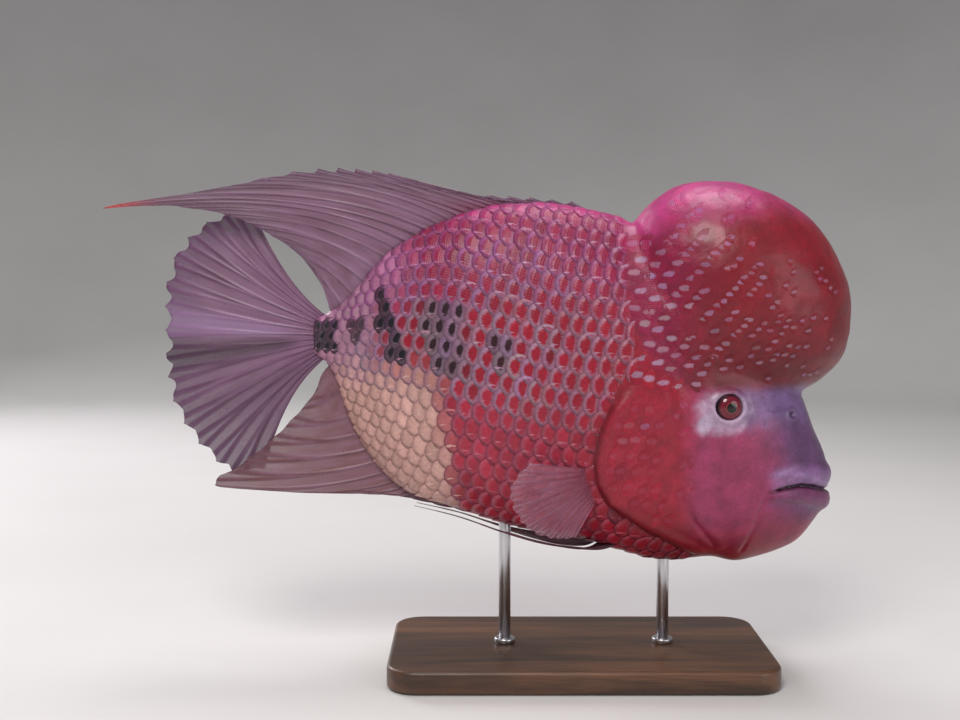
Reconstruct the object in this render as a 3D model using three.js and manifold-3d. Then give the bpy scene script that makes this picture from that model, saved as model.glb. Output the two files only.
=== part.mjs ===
// A flowerhorn cichlid, life size, swimming with its nose a little down, on a plain display stand.
// Millimetres, +Z up, the head towards +X and the right flank towards -Y. The origin is the centre of
// the underside of the base, once the whole model is lowered by floorLevel.
import * as THREE from "three";
import { mergeVertices } from "three/addons/utils/BufferGeometryUtils.js";
import Module from "manifold-3d";

const wasm = await Module();
wasm.setup();

const floorLevel = 6; // height of the base's underside in the frame that the tables below use
const seamGap = 0.3; // between touching pieces
const halfGap = seamGap / 2;
const ringPoints = 28; // points round the body

// The body without its forehead hump: x, back line, belly line, half width, level of the widest point
const bodyStations = [
  [-106.4, 147.0, 132.0, 3.6, 139.5],
  [-101.6, 148.8, 129.2, 4.2, 139.0],
  [-97.5, 151.5, 122.0, 5.2, 138.0],
  [-94.0, 154.4, 110.5, 6.4, 136.0],
  [-88.8, 159.5, 98.8, 8.6, 133.0],
  [-83.2, 166.3, 90.0, 11.0, 130.0],
  [-76.0, 173.5, 82.0, 14.0, 128.0],
  [-68.0, 179.2, 76.0, 17.0, 127.0],
  [-56.0, 185.2, 71.8, 20.6, 126.0],
  [-44.0, 189.6, 68.2, 23.6, 125.0],
  [-32.0, 192.2, 64.2, 25.8, 123.0],
  [-20.0, 193.0, 61.2, 27.6, 121.0],
  [-8.0, 192.2, 59.2, 29.0, 119.0],
  [4.0, 190.0, 56.8, 30.0, 117.0],
  [16.0, 187.0, 53.2, 30.8, 115.0],
  [28.0, 181.0, 50.2, 31.2, 112.0],
  [40.0, 172.4, 49.6, 31.0, 109.0],
  [52.0, 162.0, 50.8, 30.2, 106.0],
  [62.0, 152.0, 48.8, 28.6, 104.0],
  [72.0, 140.8, 50.8, 25.4, 101.0],
  [80.0, 130.6, 53.4, 21.6, 98.0],
  [86.4, 120.5, 56.4, 17.6, 94.0],
  [90.0, 111.6, 59.8, 15.0, 90.6],
  [92.4, 105.0, 63.0, 13.0, 88.0],
  [95.2, 99.2, 66.8, 10.4, 84.5],
  [97.4, 94.4, 70.6, 7.6, 82.5],
  [98.6, 90.6, 74.0, 5.0, 81.5],
  [99.2, 87.2, 77.0, 2.8, 81.5],
];
const tailEnd = bodyStations[0][0];
const snoutEnd = bodyStations[bodyStations.length - 1][0];

// The forehead hump, seen from the side: radius from its centre at each angle, counted from the front
const humpCentre = [62.8, 157.2];
const humpHalfWidth = 35;
const humpRadii = [
  [0, 43.9],
  [30, 40.6],
  [50, 40.2],
  [75, 41.6],
  [98, 44.8],
  [122, 49.0],
  [140, 50.6],
  [156, 49.4],
  [180, 46.0],
  [225, 43.0],
  [270, 43.0],
  [300, 46.6],
  [313, 48.4],
  [325, 49.0],
  [337, 47.4],
  [350, 44.9],
  [360, 43.9],
];

// Where the gill covers end and the flank begins, from the nape to the throat
const gillSeam = [
  [20.8, 205],
  [19, 160],
  [22.8, 129],
  [15.4, 120.4],
  [9.6, 113],
  [6.2, 104.4],
  [4.2, 94],
  [5.2, 84.2],
  [10, 75.4],
  [21.6, 67.6],
  [34, 60.4],
  [44.6, 54],
  [50, 38],
];
// The ridge in front of each gill cover, from its top to the throat
const cheekRidge = [
  [31, 123.4],
  [33.6, 112],
  [34.2, 101.4],
  [33.6, 91],
  [36.2, 80.4],
  [43, 69],
  [51.6, 59.2],
];
const gillFlare = 1.8; // how far the gill cover's free edge stands off the flank
const gillThickness = 2.6;
const tailSeam = -91; // where the tail stalk begins
// The line of the mouth on the right side, from its corner to beyond the front of the lips
const mouthLine = [
  [72, 80.8],
  [78, 82.2],
  [84, 82.7],
  [90, 81.6],
  [96.4, 79.4],
  [108, 76.4],
];
const jawRear = [
  [108, 40],
  [60, 38],
  [62, 52],
  [67, 66],
];

const eye = { x: 54.4, z: 114.2, side: 27.2, radius: 5.6, flatness: 0.78, turn: 0.16 };
const orbit = { radius: 6.2, thickness: 1.4, squash: 0.9 };
const nostril = { x: 80.6, z: 110.4, side: 18.9, radius: 1.1, rim: 0.6 };

// Each lip's roll from its corner to the middle: x, distance from the middle, height above the mouth
// line, half height, half depth
const upperLip = [
  [71.5, 24.0, 0.8, 1.4, 1.4],
  [78.0, 21.6, 2.6, 2.8, 2.4],
  [84.0, 18.2, 3.5, 3.6, 2.8],
  [90.0, 13.6, 4.2, 4.2, 3.1],
  [94.8, 8.2, 5.0, 4.6, 3.3],
  [97.2, 3.2, 5.6, 4.7, 3.4],
  [97.6, 0, 5.7, 4.7, 3.4],
];
const lowerLip = [
  [71.5, 23.8, -1.2, 1.4, 1.4],
  [78.0, 21.2, -2.8, 2.6, 2.4],
  [84.0, 18.0, -3.7, 3.5, 2.8],
  [90.0, 13.4, -4.2, 4.0, 3.1],
  [94.8, 8.0, -4.5, 4.3, 3.3],
  [97.0, 3.0, -4.6, 4.4, 3.4],
  [97.4, 0, -4.6, 4.4, 3.4],
];

// Rounded numbers between table rows, with no overshoot
function smoothTable(rows) {
  const slopes = rows.slice(1).map((row, i) =>
    row.map((v, c) => (v - rows[i][c]) / (row[0] - rows[i][0])));
  const tangents = rows.map((row, i) =>
    row.map((_, c) => {
      if (i === 0) return slopes[0][c];
      if (i === rows.length - 1) return slopes[i - 1][c];
      const [a, b] = [slopes[i - 1][c], slopes[i][c]];
      return a * b <= 0 ? 0 : (2 * a * b) / (a + b);
    }));
  return (x) => {
    let i = 0;
    while (i < rows.length - 2 && x > rows[i + 1][0]) i += 1;
    const span = rows[i + 1][0] - rows[i][0];
    const t = Math.min(1, Math.max(0, (x - rows[i][0]) / span));
    const [t2, t3] = [t * t, t * t * t];
    return rows[i].map((v, c) =>
      v * (2 * t3 - 3 * t2 + 1) + rows[i + 1][c] * (3 * t2 - 2 * t3) +
      span * (tangents[i][c] * (t3 - 2 * t2 + t) + tangents[i + 1][c] * (t3 - t2)));
  };
}

const bodyAt = smoothTable(bodyStations);
const humpRadiusAt = smoothTable(humpRadii);
const backLine = (x) => bodyAt(x)[1];
const bellyLine = (x) => bodyAt(x)[2];

function smoothStep(low, high, value) {
  const t = Math.min(1, Math.max(0, (value - low) / (high - low)));
  return t * t * (3 - 2 * t);
}

// Half width of the body at a place on its side
function flankAt(x, z) {
  const [, top, bottom, half, widest] = bodyAt(x);
  const share = z > widest ? (z - widest) / (top - widest) : (widest - z) / (widest - bottom);
  return half * Math.sqrt(Math.max(0, 1 - share * share));
}

function distanceTo(line, x, z) {
  let least = Infinity;
  for (let i = 1; i < line.length; i += 1) {
    const [ax, az] = line[i - 1];
    const [bx, bz] = line[i];
    const along = ((x - ax) * (bx - ax) + (z - az) * (bz - az)) / ((bx - ax) ** 2 + (bz - az) ** 2);
    const t = Math.min(1, Math.max(0, along));
    least = Math.min(least, Math.hypot(x - ax - t * (bx - ax), z - az - t * (bz - az)));
  }
  return least;
}

function gillBulge(x, z) {
  const reach = Math.exp(-((distanceTo(gillSeam, x, z) / 15) ** 2));
  return gillFlare * reach * smoothStep(52, 66, z) * (1 - smoothStep(112, 126, z));
}

// Cuts and joins work on closed meshes whose shared points are merged
function toSolid(geometry) {
  const bare = new THREE.BufferGeometry();
  bare.setAttribute("position", geometry.getAttribute("position"));
  bare.setIndex(geometry.getIndex());
  const merged = mergeVertices(bare, 1e-4);
  return new wasm.Manifold(new wasm.Mesh({
    numProp: 3,
    vertProperties: new Float32Array(merged.attributes.position.array),
    triVerts: new Uint32Array(merged.index.array),
  }));
}

function largest(solid) {
  const pieces = solid.decompose();
  return pieces.reduce((best, piece) => (piece.volume() > best.volume() ? piece : best));
}

function toGeometry(solid) {
  const mesh = solid.getMesh();
  const geometry = new THREE.BufferGeometry();
  geometry.setAttribute("position", new THREE.BufferAttribute(mesh.vertProperties, 3));
  geometry.setIndex(new THREE.BufferAttribute(mesh.triVerts, 1));
  return geometry;
}

// A closed tube of rings: ring i, point j
function ringTube(rings) {
  const wide = rings[0].length;
  const points = rings.flat();
  const faces = [];
  const [first, last] = [points.length, points.length + 1];
  for (const ring of [rings[0], rings[rings.length - 1]]) {
    points.push([0, 1, 2].map((k) => ring.reduce((sum, p) => sum + p[k], 0) / wide));
  }
  for (let j = 0; j < wide; j += 1) {
    const next = (j + 1) % wide;
    for (let i = 0; i < rings.length - 1; i += 1) {
      const [a, b] = [i * wide + j, i * wide + next];
      const [c, d] = [a + wide, b + wide];
      faces.push(a, b, d, a, d, c);
    }
    const end = (rings.length - 1) * wide;
    faces.push(first, next, j, last, end + j, end + next);
  }
  const geometry = new THREE.BufferGeometry();
  geometry.setAttribute("position", new THREE.BufferAttribute(new Float32Array(points.flat()), 3));
  geometry.setIndex(faces);
  return toSolid(geometry);
}

// How much farther a level moves than the skin does where the outline is steep
function steepness(level, x) {
  const slope = (level(x + 0.4) - level(x - 0.4)) / 0.8;
  return Math.min(3, Math.hypot(1, slope));
}

// The body between two stations, made larger by grow all round, with or without the flared gill covers
function bodyLoft({ from, to, rings, grow = 0, flared = false }) {
  const loops = [];
  for (let i = 0; i < rings; i += 1) {
    const even = i / (rings - 1);
    const share = 0.55 * even + 0.45 * (0.5 - 0.5 * Math.cos(Math.PI * even));
    const x = from + (to - from) * share;
    const [, top, bottom, half, widest] = bodyAt(x);
    const upper = top - widest + grow * steepness(backLine, x);
    const lower = widest - bottom + grow * steepness(bellyLine, x);
    const shift = (i === rings - 1 ? 1 : 0) - (i === 0 ? 1 : 0);
    const loop = [];
    for (let j = 0; j < ringPoints; j += 1) {
      const angle = (-2 * Math.PI * j) / ringPoints;
      const [c, s] = [Math.cos(angle), Math.sin(angle)];
      const z = widest + (c > 0 ? upper : lower) * c;
      const bulge = flared ? gillBulge(x, z) : 0;
      loop.push([x + grow * shift, (half + 1.4 * grow + bulge) * s, z]);
    }
    loops.push(loop);
  }
  return ringTube(loops);
}

// A slab that stands right through the body, from its outline seen from the side
function slab(outline, low = -60, high = 60) {
  const shape = new THREE.Shape(outline.map(([x, z]) => new THREE.Vector2(x, z)));
  const geometry = new THREE.ExtrudeGeometry(shape, { depth: high - low, bevelEnabled: false });
  geometry.rotateX(Math.PI / 2);
  geometry.translate(0, high, 0);
  return toSolid(geometry);
}

function shifted(line, distance) {
  return line.map(([x, z], i) => {
    const [ax, az] = line[Math.max(0, i - 1)];
    const [bx, bz] = line[Math.min(line.length - 1, i + 1)];
    const length = Math.hypot(bx - ax, bz - az);
    return [x - ((bz - az) / length) * distance, z + ((bx - ax) / length) * distance];
  });
}

const seamFront = shifted(gillSeam, halfGap);
const seamRear = shifted(gillSeam, -halfGap);
const far = 150;

function headRegion() {
  return slab([...seamFront, [far, 38], [far, 205]]);
}

function torsoRegion() {
  return slab([...seamRear, [tailSeam + halfGap, 38], [tailSeam + halfGap, 205]]);
}

// A closed outline moved outwards by a distance, or inwards where the distance is negative
function grownOutline(outline, distance) {
  const turn = outline.reduce((sum, [x, z], i) => {
    const [nextX, nextZ] = outline[(i + 1) % outline.length];
    return sum + x * nextZ - nextX * z;
  }, 0);
  const side = Math.sign(turn) * distance;
  return outline.map(([x, z], i) => {
    const before = outline[(i + outline.length - 1) % outline.length];
    const after = outline[(i + 1) % outline.length];
    const first = Math.atan2(z - before[1], x - before[0]);
    const second = Math.atan2(after[1] - z, after[0] - x);
    const half = Math.atan2(Math.sin(second - first), Math.cos(second - first)) / 2;
    const reach = side / Math.max(0.35, Math.cos(half));
    return [x + reach * Math.sin(first + half), z - reach * Math.cos(first + half)];
  });
}

const gillOutline = [...gillSeam.slice(2, 12), ...cheekRidge.slice().reverse()];
const jawOutline = [...mouthLine, ...jawRear];

function gillRegion(grow, low, high) {
  return slab(grownOutline(gillOutline, grow), low, high);
}

function jawRegion(grow) {
  return slab(grownOutline(jawOutline, grow));
}

const mouthHeight = smoothTable(mouthLine);

// One lip: a roll that follows the mouth line round the snout, thin at its corners
function lipRoll(rows) {
  const right = rows.map(([x, y, rise, high, deep]) => [x, -y, mouthHeight(x)[1] + rise, high, deep]);
  const left = right.slice(0, -1).reverse().map(([x, y, ...rest]) => [x, -y, ...rest]);
  const stops = [...right, ...left];
  const path = new THREE.CatmullRomCurve3(stops.map(([x, y, z]) => new THREE.Vector3(x, y, z)));
  const size = new THREE.CatmullRomCurve3(stops.map((row) => new THREE.Vector3(row[3], row[4], 0)));
  const rings = [];
  const [steps, sides] = [20, 9];
  for (let i = 0; i <= steps; i += 1) {
    const middle = path.getPoint(i / steps);
    const along = path.getTangent(i / steps);
    const { x: high, y: deep } = size.getPoint(i / steps);
    const outward = new THREE.Vector3(along.y, -along.x, 0).normalize();
    const ring = [];
    for (let j = 0; j < sides; j += 1) {
      const angle = (2 * Math.PI * j) / sides;
      const reach = outward.clone().multiplyScalar(deep * Math.cos(angle));
      ring.push([middle.x + reach.x, middle.y + reach.y, middle.z - high * Math.sin(angle)]);
    }
    rings.push(ring);
  }
  return ringTube(rings);
}

function placedSphere(radius, scale, place, turn, segments = [14, 9]) {
  const geometry = new THREE.SphereGeometry(radius, ...segments);
  geometry.scale(...scale);
  geometry.rotateZ(turn);
  geometry.translate(...place);
  return toSolid(geometry);
}

function placedRing(radius, thickness, place, turn, squash = 1) {
  const geometry = new THREE.TorusGeometry(radius, thickness, 6, 18);
  geometry.rotateX(Math.PI / 2);
  geometry.scale(1, 1, squash);
  geometry.rotateZ(turn);
  geometry.translate(...place);
  return toSolid(geometry);
}

function eyeball(side, grow) {
  const size = eye.radius + grow;
  const flat = (eye.radius * eye.flatness + grow) / size;
  return placedSphere(size, [1, flat, 1], [eye.x, side * eye.side, eye.z], -side * eye.turn);
}

function orbitRing(side) {
  const place = [eye.x, side * (eye.side + 1.6), eye.z];
  return placedRing(orbit.radius, orbit.thickness, place, -side * eye.turn, orbit.squash);
}

function nostrilRim(side) {
  const place = [nostril.x, side * (nostril.side - 0.1), nostril.z];
  return placedRing(nostril.radius + nostril.rim, nostril.rim, place, -side * 0.5);
}

function nostrilPit(side) {
  const place = [nostril.x, side * (nostril.side + 0.3), nostril.z];
  return placedSphere(nostril.radius, [1, 1.3, 1], place, -side * 0.5, [8, 6]);
}

const torsoLoft = bodyLoft({ from: tailEnd, to: 66, rings: 27 });
const torsoGrown = bodyLoft({ from: tailEnd, to: 66, rings: 27, grow: seamGap });
const headLoft = bodyLoft({ from: 2, to: snoutEnd, rings: 21, flared: true });
const headGrown = bodyLoft({ from: 2, to: snoutEnd, rings: 21, grow: seamGap, flared: true });
const bodyGrown = torsoGrown.add(headGrown.intersect(headRegion()));

function makeHump() {
  const geometry = new THREE.SphereGeometry(1, 28, 16);
  const position = geometry.getAttribute("position");
  for (let i = 0; i < position.count; i += 1) {
    const [x, y, z] = [position.getX(i), position.getY(i), position.getZ(i)];
    const spread = Math.hypot(x, z);
    const degrees = ((Math.atan2(z, x) * 180) / Math.PI + 360) % 360;
    const reach = humpRadiusAt(degrees)[1] * spread ** 0.92;
    const direction = (degrees * Math.PI) / 180;
    position.setXYZ(
      i,
      humpCentre[0] + reach * Math.cos(direction),
      humpHalfWidth * y,
      humpCentre[1] + reach * Math.sin(direction),
    );
  }
  return largest(toSolid(geometry).subtract(bodyGrown));
}

function makeTorso() {
  return largest(torsoLoft.intersect(torsoRegion()));
}

function makeTailStalk() {
  const seam = tailSeam - halfGap;
  return largest(torsoLoft.intersect(slab([[-far, 38], [-far, 205], [seam, 205], [seam, 38]])));
}

function makeGillCover(side) {
  const core = bodyLoft({ from: 2, to: 66, rings: 18, grow: -gillThickness });
  const [low, high] = side < 0 ? [-60, -8] : [8, 60];
  return largest(headLoft.intersect(gillRegion(-halfGap, low, high)).subtract(core));
}

function makeHead() {
  const core = bodyLoft({ from: 2, to: 66, rings: 18, grow: -gillThickness - seamGap });
  const hollows = [-1, 1].map((side) => {
    const [low, high] = side < 0 ? [-60, -8 + seamGap] : [8 - seamGap, 60];
    return gillRegion(halfGap, low, high).subtract(core);
  });
  let head = headLoft.intersect(headRegion());
  head = head.subtract(hollows[0]).subtract(hollows[1]);
  head = head.add(lipRoll(upperLip));
  for (const side of [-1, 1]) {
    head = head.add(orbitRing(side)).subtract(eyeball(side, seamGap));
    head = head.add(nostrilRim(side)).subtract(nostrilPit(side));
  }
  return largest(head.subtract(jawRegion(halfGap)));
}

function makeJaw() {
  const jaw = headLoft.intersect(headRegion()).add(lipRoll(lowerLip));
  return largest(jaw.intersect(jawRegion(-halfGap)));
}

// A fin: a thin sheet between a root line and a tip line, with its rays as ridges on both faces.
// place(ray, t) gives a point, ray from 0 to 1 across the fin and t from 0 at the root to 1 at the edge.
function finSheet({ rays, steps, place, normal, web, rib, edge = 0.5 }) {
  const columns = 2 * rays - 1;
  const faces = [];
  const points = [];
  for (const side of [1, -1]) {
    for (let i = 0; i < columns; i += 1) {
      for (let k = 0; k <= steps; k += 1) {
        const t = k / steps;
        const ray = i / (columns - 1);
        const full = i % 2 === 0 ? rib : web;
        const half = (full * (1 - t) ** 0.8 + edge * (1 - (1 - t) ** 0.8)) / 2;
        const at = place(ray, t, i % 2 === 0);
        points.push(at.map((v, axis) => v + side * half * normal[axis]));
      }
    }
  }
  const tall = steps + 1;
  const back = columns * tall;
  for (let i = 0; i < columns - 1; i += 1) {
    for (let k = 0; k < steps; k += 1) {
      const [a, b] = [i * tall + k, i * tall + k + 1];
      const [c, d] = [a + tall, b + tall];
      faces.push(a, b, d, a, d, c);
      faces.push(back + a, back + d, back + b, back + a, back + c, back + d);
    }
  }
  const rim = [];
  for (let k = 0; k < steps; k += 1) rim.push([k, k + 1]);
  for (let i = 0; i < columns - 1; i += 1) rim.push([i * tall + steps, (i + 1) * tall + steps]);
  const last = (columns - 1) * tall;
  for (let k = steps; k > 0; k -= 1) rim.push([last + k, last + k - 1]);
  for (let i = columns - 1; i > 0; i -= 1) rim.push([i * tall, (i - 1) * tall]);
  for (const [a, b] of rim) faces.push(b, a, back + a, b, back + a, back + b);
  const geometry = new THREE.BufferGeometry();
  geometry.setAttribute("position", new THREE.BufferAttribute(new Float32Array(points.flat()), 3));
  geometry.setIndex(faces);
  const solid = toSolid(geometry);
  return solid.volume() < 0 ? flipped(geometry) : solid;
}

function flipped(geometry) {
  const index = geometry.getIndex().array;
  const turned = [];
  for (let i = 0; i < index.length; i += 3) turned.push(index[i], index[i + 2], index[i + 1]);
  geometry.setIndex(turned);
  return toSolid(geometry);
}

function curveThrough(points) {
  const curve = new THREE.CatmullRomCurve3(points.map((p) => new THREE.Vector3(...p)), false, "centripetal");
  return (t) => curve.getPoint(Math.min(1, Math.max(0, t))).toArray();
}

// A ray that leaves its root towards the bend point and ends at the tip
function bentRay(root, bend, tip, t) {
  const s = 1 - t;
  return root.map((v, axis) => s * s * v + 2 * s * t * bend[axis] + t * t * tip[axis]);
}

const midSideways = [0, 1, 0];
const tailSwing = (x, amount, from) => amount * Math.max(0, (from - x) / 60) ** 1.15;

function makeDorsalFin() {
  const spines = 16;
  const softRays = 12;
  const rays = spines + softRays;
  const tips = curveThrough([
    [-4, 0, 193.2],
    [-18, 0, 194.6],
    [-32, 0, 195.4],
    [-46, 0, 196.2],
    [-58, 0, 198.2],
    [-68, 0, 201.4],
    [-77, 0, 204.4],
    [-88, 0, 205.8],
    [-100, 0, 206.2],
    [-116, 0, 204.4],
    [-140, 0, 198.8],
    [-188, 0, 190.2],
    [-164, 0, 191.0],
    [-141, 0, 187.6],
    [-125, 0, 180.8],
    [-112, 0, 172.0],
    [-103, 0, 160.0],
  ]);
  const place = (ray, t, onRay) => {
    const spiny = 1 - smoothStep(0.5, 0.62, ray);
    const rootX = 14 - 113 * ray ** 1.12;
    const root = [rootX, 0, backLine(rootX) - 4];
    const notch = onRay ? 0 : 1.5 * spiny;
    const tip = tips(ray);
    tip[2] -= notch;
    tip[0] += notch * 0.8;
    const reach = Math.hypot(tip[0] - root[0], tip[2] - root[2]);
    const arch = (0.02 + 0.13 * (1 - spiny)) * reach;
    const bend = root.map((v, axis) => v + 0.4 * (tip[axis] - v));
    bend[2] += arch;
    const at = bentRay(root, bend, tip, t);
    at[1] = -tailSwing(at[0], 5, -100) + 0.9 * Math.sin(at[0] / 9) * t * (1 - spiny);
    return at;
  };
  const sheet = finSheet({ rays, steps: 9, place, normal: midSideways, web: 0.9, rib: 2.4, edge: 0.6 });
  return largest(sheet.subtract(bodyGrown));
}

function makeAnalFin() {
  const rays = 15;
  const tips = curveThrough([
    [-50, 0, 70.0],
    [-62, 0, 72.6],
    [-74, 0, 75.4],
    [-88, 0, 76.8],
    [-104, 0, 77.0],
    [-122, 0, 77.4],
    [-147, 0, 80.4],
    [-134, 0, 90.0],
    [-122, 0, 100.0],
    [-112, 0, 110.0],
    [-105, 0, 118.0],
  ]);
  const place = (ray, t, onRay) => {
    const spiny = 1 - smoothStep(0.3, 0.45, ray);
    const rootX = -38 - 61 * ray ** 0.85;
    const root = [rootX, 0, bellyLine(rootX) + 3.5];
    const tip = tips(ray);
    const notch = onRay ? 0 : 0.8 * spiny;
    tip[2] += notch;
    const reach = Math.hypot(tip[0] - root[0], tip[2] - root[2]);
    const bend = [root[0] - 0.42 * reach, 0, root[2] - 0.26 * reach];
    bend[2] = Math.min(root[2] - 1, Math.max(bend[2], tip[2] - 3));
    const at = bentRay(root, bend, tip, t);
    at[1] = -tailSwing(at[0], 5.5, -102) + 0.7 * Math.sin(at[0] / 8) * t * (1 - spiny);
    return at;
  };
  const sheet = finSheet({ rays, steps: 9, place, normal: midSideways, web: 0.9, rib: 2.4, edge: 0.6 });
  return largest(sheet.subtract(bodyGrown));
}

function makeCaudalFin() {
  const rays = 16;
  const lengths = smoothTable([
    [115, 50],
    [128, 61],
    [148, 64.5],
    [180, 60],
    [212, 64.5],
    [238, 65],
    [250, 58],
  ]);
  const place = (ray, t) => {
    const degrees = 115 + 135 * ray;
    const angle = (degrees * Math.PI) / 180;
    const spread = Math.sin(angle);
    const root = [tailEnd + 5, 0, 139.4 + 8.4 * (1 - 2 * ray)];
    const reach = lengths(degrees)[1];
    const tip = [-107 + reach * Math.cos(angle), 0, 139.6 + reach * spread];
    const bend = [root[0] - 0.3 * reach, 0, root[2] + 0.24 * reach * spread];
    const at = bentRay(root, bend, tip, t);
    at[1] = tailSwing(at[0], 7, -107) + 1.1 * Math.sin(ray * 11) * t * t;
    return at;
  };
  const sheet = finSheet({ rays, steps: 9, place, normal: midSideways, web: 1.0, rib: 2.6, edge: 0.6 });
  return largest(sheet.subtract(bodyGrown));
}

function makePectoralFin(side) {
  const rays = 12;
  const spread = 0.46; // angle from the flank, in radians
  const reaches = smoothTable([
    [0, 29],
    [0.25, 38],
    [0.5, 35],
    [0.8, 25],
    [1, 18],
  ]);
  const place = (ray, t) => {
    const rootZ = 90 - 11 * ray;
    const rootX = 1 + 2 * ray;
    const root = [rootX + 3, side * (flankAt(rootX, rootZ) - 3.5), rootZ];
    const reach = reaches(ray)[1];
    const dip = -0.16 + 1.12 * ray;
    const back = reach * Math.cos(dip) * Math.cos(spread);
    const out = reach * Math.cos(0.5 * dip) * Math.sin(spread);
    const tip = [root[0] - back, root[1] + side * (out + 2), root[2] - reach * Math.sin(dip)];
    const bend = [
      root[0] - 0.45 * back,
      root[1] + side * (0.62 * out + 2),
      root[2] - 0.4 * reach * Math.sin(dip),
    ];
    return bentRay(root, bend, tip, t);
  };
  const normal = [side * Math.sin(spread), Math.cos(spread), 0];
  const sheet = finSheet({ rays, steps: 7, place, normal, web: 0.7, rib: 1.6, edge: 0.5 });
  return largest(sheet.subtract(bodyGrown));
}

function makePelvicFin(side, drop) {
  const rays = 6;
  const leading = curveThrough([
    [17, side * 8, 58.6],
    [8, side * 11, 56],
    [-5, side * 12.6, 57 - drop * 0.3],
    [-18, side * 13, 59.2 - drop * 0.6],
    [-33, side * 12.4, 63.6 - drop],
    [-49, side * 11, 69 - drop],
    [-66, side * 10, 73 - drop],
  ]);
  const trailing = curveThrough([
    [10, side * 2.6, 58.6],
    [3, side * 3.6, 54.6],
    [-8, side * 4.8, 55.6 - drop * 0.4],
    [-19, side * 6, 58.4 - drop * 0.6],
    [-30, side * 7, 62 - drop * 0.8],
  ]);
  const place = (ray, t) => {
    const outer = leading(t * (1 - 0.5 * ray ** 0.5));
    const inner = trailing(t);
    const share = ray ** 1.1;
    return outer.map((v, axis) => v * (1 - share) + inner[axis] * share);
  };
  const normal = [0.1, side * 0.35, 0.93];
  const sheet = finSheet({ rays, steps: 10, place, normal, web: 0.8, rib: 1.8, edge: 0.6 });
  return largest(sheet.subtract(bodyGrown));
}

// The stand: a low wooden plate and two steel rods that end at the belly
const base = { halfLength: 76, halfDepth: 40, thickness: 9, corner: 12, edge: 1.6 };
const rod = { radius: 2.4, places: [34, -30] };

function makeBase() {
  const { halfLength: a, halfDepth: b, corner: r, edge } = base;
  const [w, d] = [a - edge, b - edge];
  const shape = new THREE.Shape();
  shape.moveTo(-w + r, -d);
  shape.lineTo(w - r, -d);
  shape.absarc(w - r, -d + r, r, -Math.PI / 2, 0);
  shape.absarc(w - r, d - r, r, 0, Math.PI / 2);
  shape.absarc(-w + r, d - r, r, Math.PI / 2, Math.PI);
  shape.absarc(-w + r, -d + r, r, Math.PI, 1.5 * Math.PI);
  const geometry = new THREE.ExtrudeGeometry(shape, {
    depth: base.thickness - 2 * edge,
    bevelThickness: edge,
    bevelSize: edge,
    bevelSegments: 2,
    curveSegments: 4,
  });
  geometry.translate(0, 0, floorLevel + edge);
  return toSolid(geometry);
}

function makeRod(x) {
  const foot = floorLevel + base.thickness + seamGap;
  const height = bellyLine(x) + 6 - foot;
  const geometry = new THREE.CylinderGeometry(rod.radius, rod.radius, height, 18);
  geometry.rotateX(Math.PI / 2);
  geometry.translate(x, 0, foot + height / 2);
  return largest(toSolid(geometry).subtract(bodyGrown));
}

const crimson = { color: 0xa81c3a, roughness: 0.4, metalness: 0 };
const looks = {
  skin: crimson,
  hump: { color: 0xb01848, roughness: 0.35, metalness: 0 },
  face: { color: 0x8d5a7c, roughness: 0.4, metalness: 0 },
  fin: { color: 0x8c6480, roughness: 0.45, metalness: 0 },
  iris: { color: 0x7a1024, roughness: 0.1, metalness: 0 },
  wood: { color: 0x3a2418, roughness: 0.5, metalness: 0 },
  steel: { color: 0xb8b8bc, roughness: 0.3, metalness: 1 },
};

const fish = new THREE.Group();
fish.position.z = -floorLevel;

function addPiece(name, solid, look) {
  const mesh = new THREE.Mesh(toGeometry(solid), new THREE.MeshStandardMaterial(look));
  mesh.name = name;
  fish.add(mesh);
}

addPiece("head", makeHead(), looks.face);
addPiece("lower_jaw", makeJaw(), looks.face);
addPiece("forehead_hump", makeHump(), looks.hump);
addPiece("torso", makeTorso(), looks.skin);
addPiece("tail_stalk", makeTailStalk(), looks.skin);
addPiece("dorsal_fin", makeDorsalFin(), looks.fin);
addPiece("anal_fin", makeAnalFin(), looks.fin);
addPiece("caudal_fin", makeCaudalFin(), looks.fin);
for (const [name, side, drop] of [["right", -1, 0], ["left", 1, 2.5]]) {
  addPiece(`gill_cover_${name}`, makeGillCover(side), looks.face);
  addPiece(`eye_${name}`, eyeball(side, 0), looks.iris);
  addPiece(`pectoral_fin_${name}`, makePectoralFin(side), looks.fin);
  addPiece(`pelvic_fin_${name}`, makePelvicFin(side, drop), looks.fin);
}
addPiece("stand_base", makeBase(), looks.wood);
addPiece("stand_rod_front", makeRod(rod.places[0]), looks.steel);
addPiece("stand_rod_rear", makeRod(rod.places[1]), looks.steel);

export default fish;
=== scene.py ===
import math
import random
import bpy
import bmesh
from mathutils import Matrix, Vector, noise
from mathutils.bvhtree import BVHTree


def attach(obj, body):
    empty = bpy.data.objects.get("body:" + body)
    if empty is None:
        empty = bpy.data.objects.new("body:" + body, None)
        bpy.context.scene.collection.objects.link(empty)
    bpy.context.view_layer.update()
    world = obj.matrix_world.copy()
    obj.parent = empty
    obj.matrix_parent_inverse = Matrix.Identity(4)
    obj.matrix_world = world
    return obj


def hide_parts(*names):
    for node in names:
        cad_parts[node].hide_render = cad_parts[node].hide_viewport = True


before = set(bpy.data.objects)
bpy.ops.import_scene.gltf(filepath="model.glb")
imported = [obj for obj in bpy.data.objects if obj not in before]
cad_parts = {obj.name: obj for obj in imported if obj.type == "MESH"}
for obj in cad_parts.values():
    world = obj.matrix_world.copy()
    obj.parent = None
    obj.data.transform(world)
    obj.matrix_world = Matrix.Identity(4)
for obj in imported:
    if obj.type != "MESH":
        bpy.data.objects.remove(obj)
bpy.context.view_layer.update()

mm = 0.001
floorLevel = 6.0


def clamp(value, low=0.0, high=1.0):
    return max(low, min(high, value))


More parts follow.
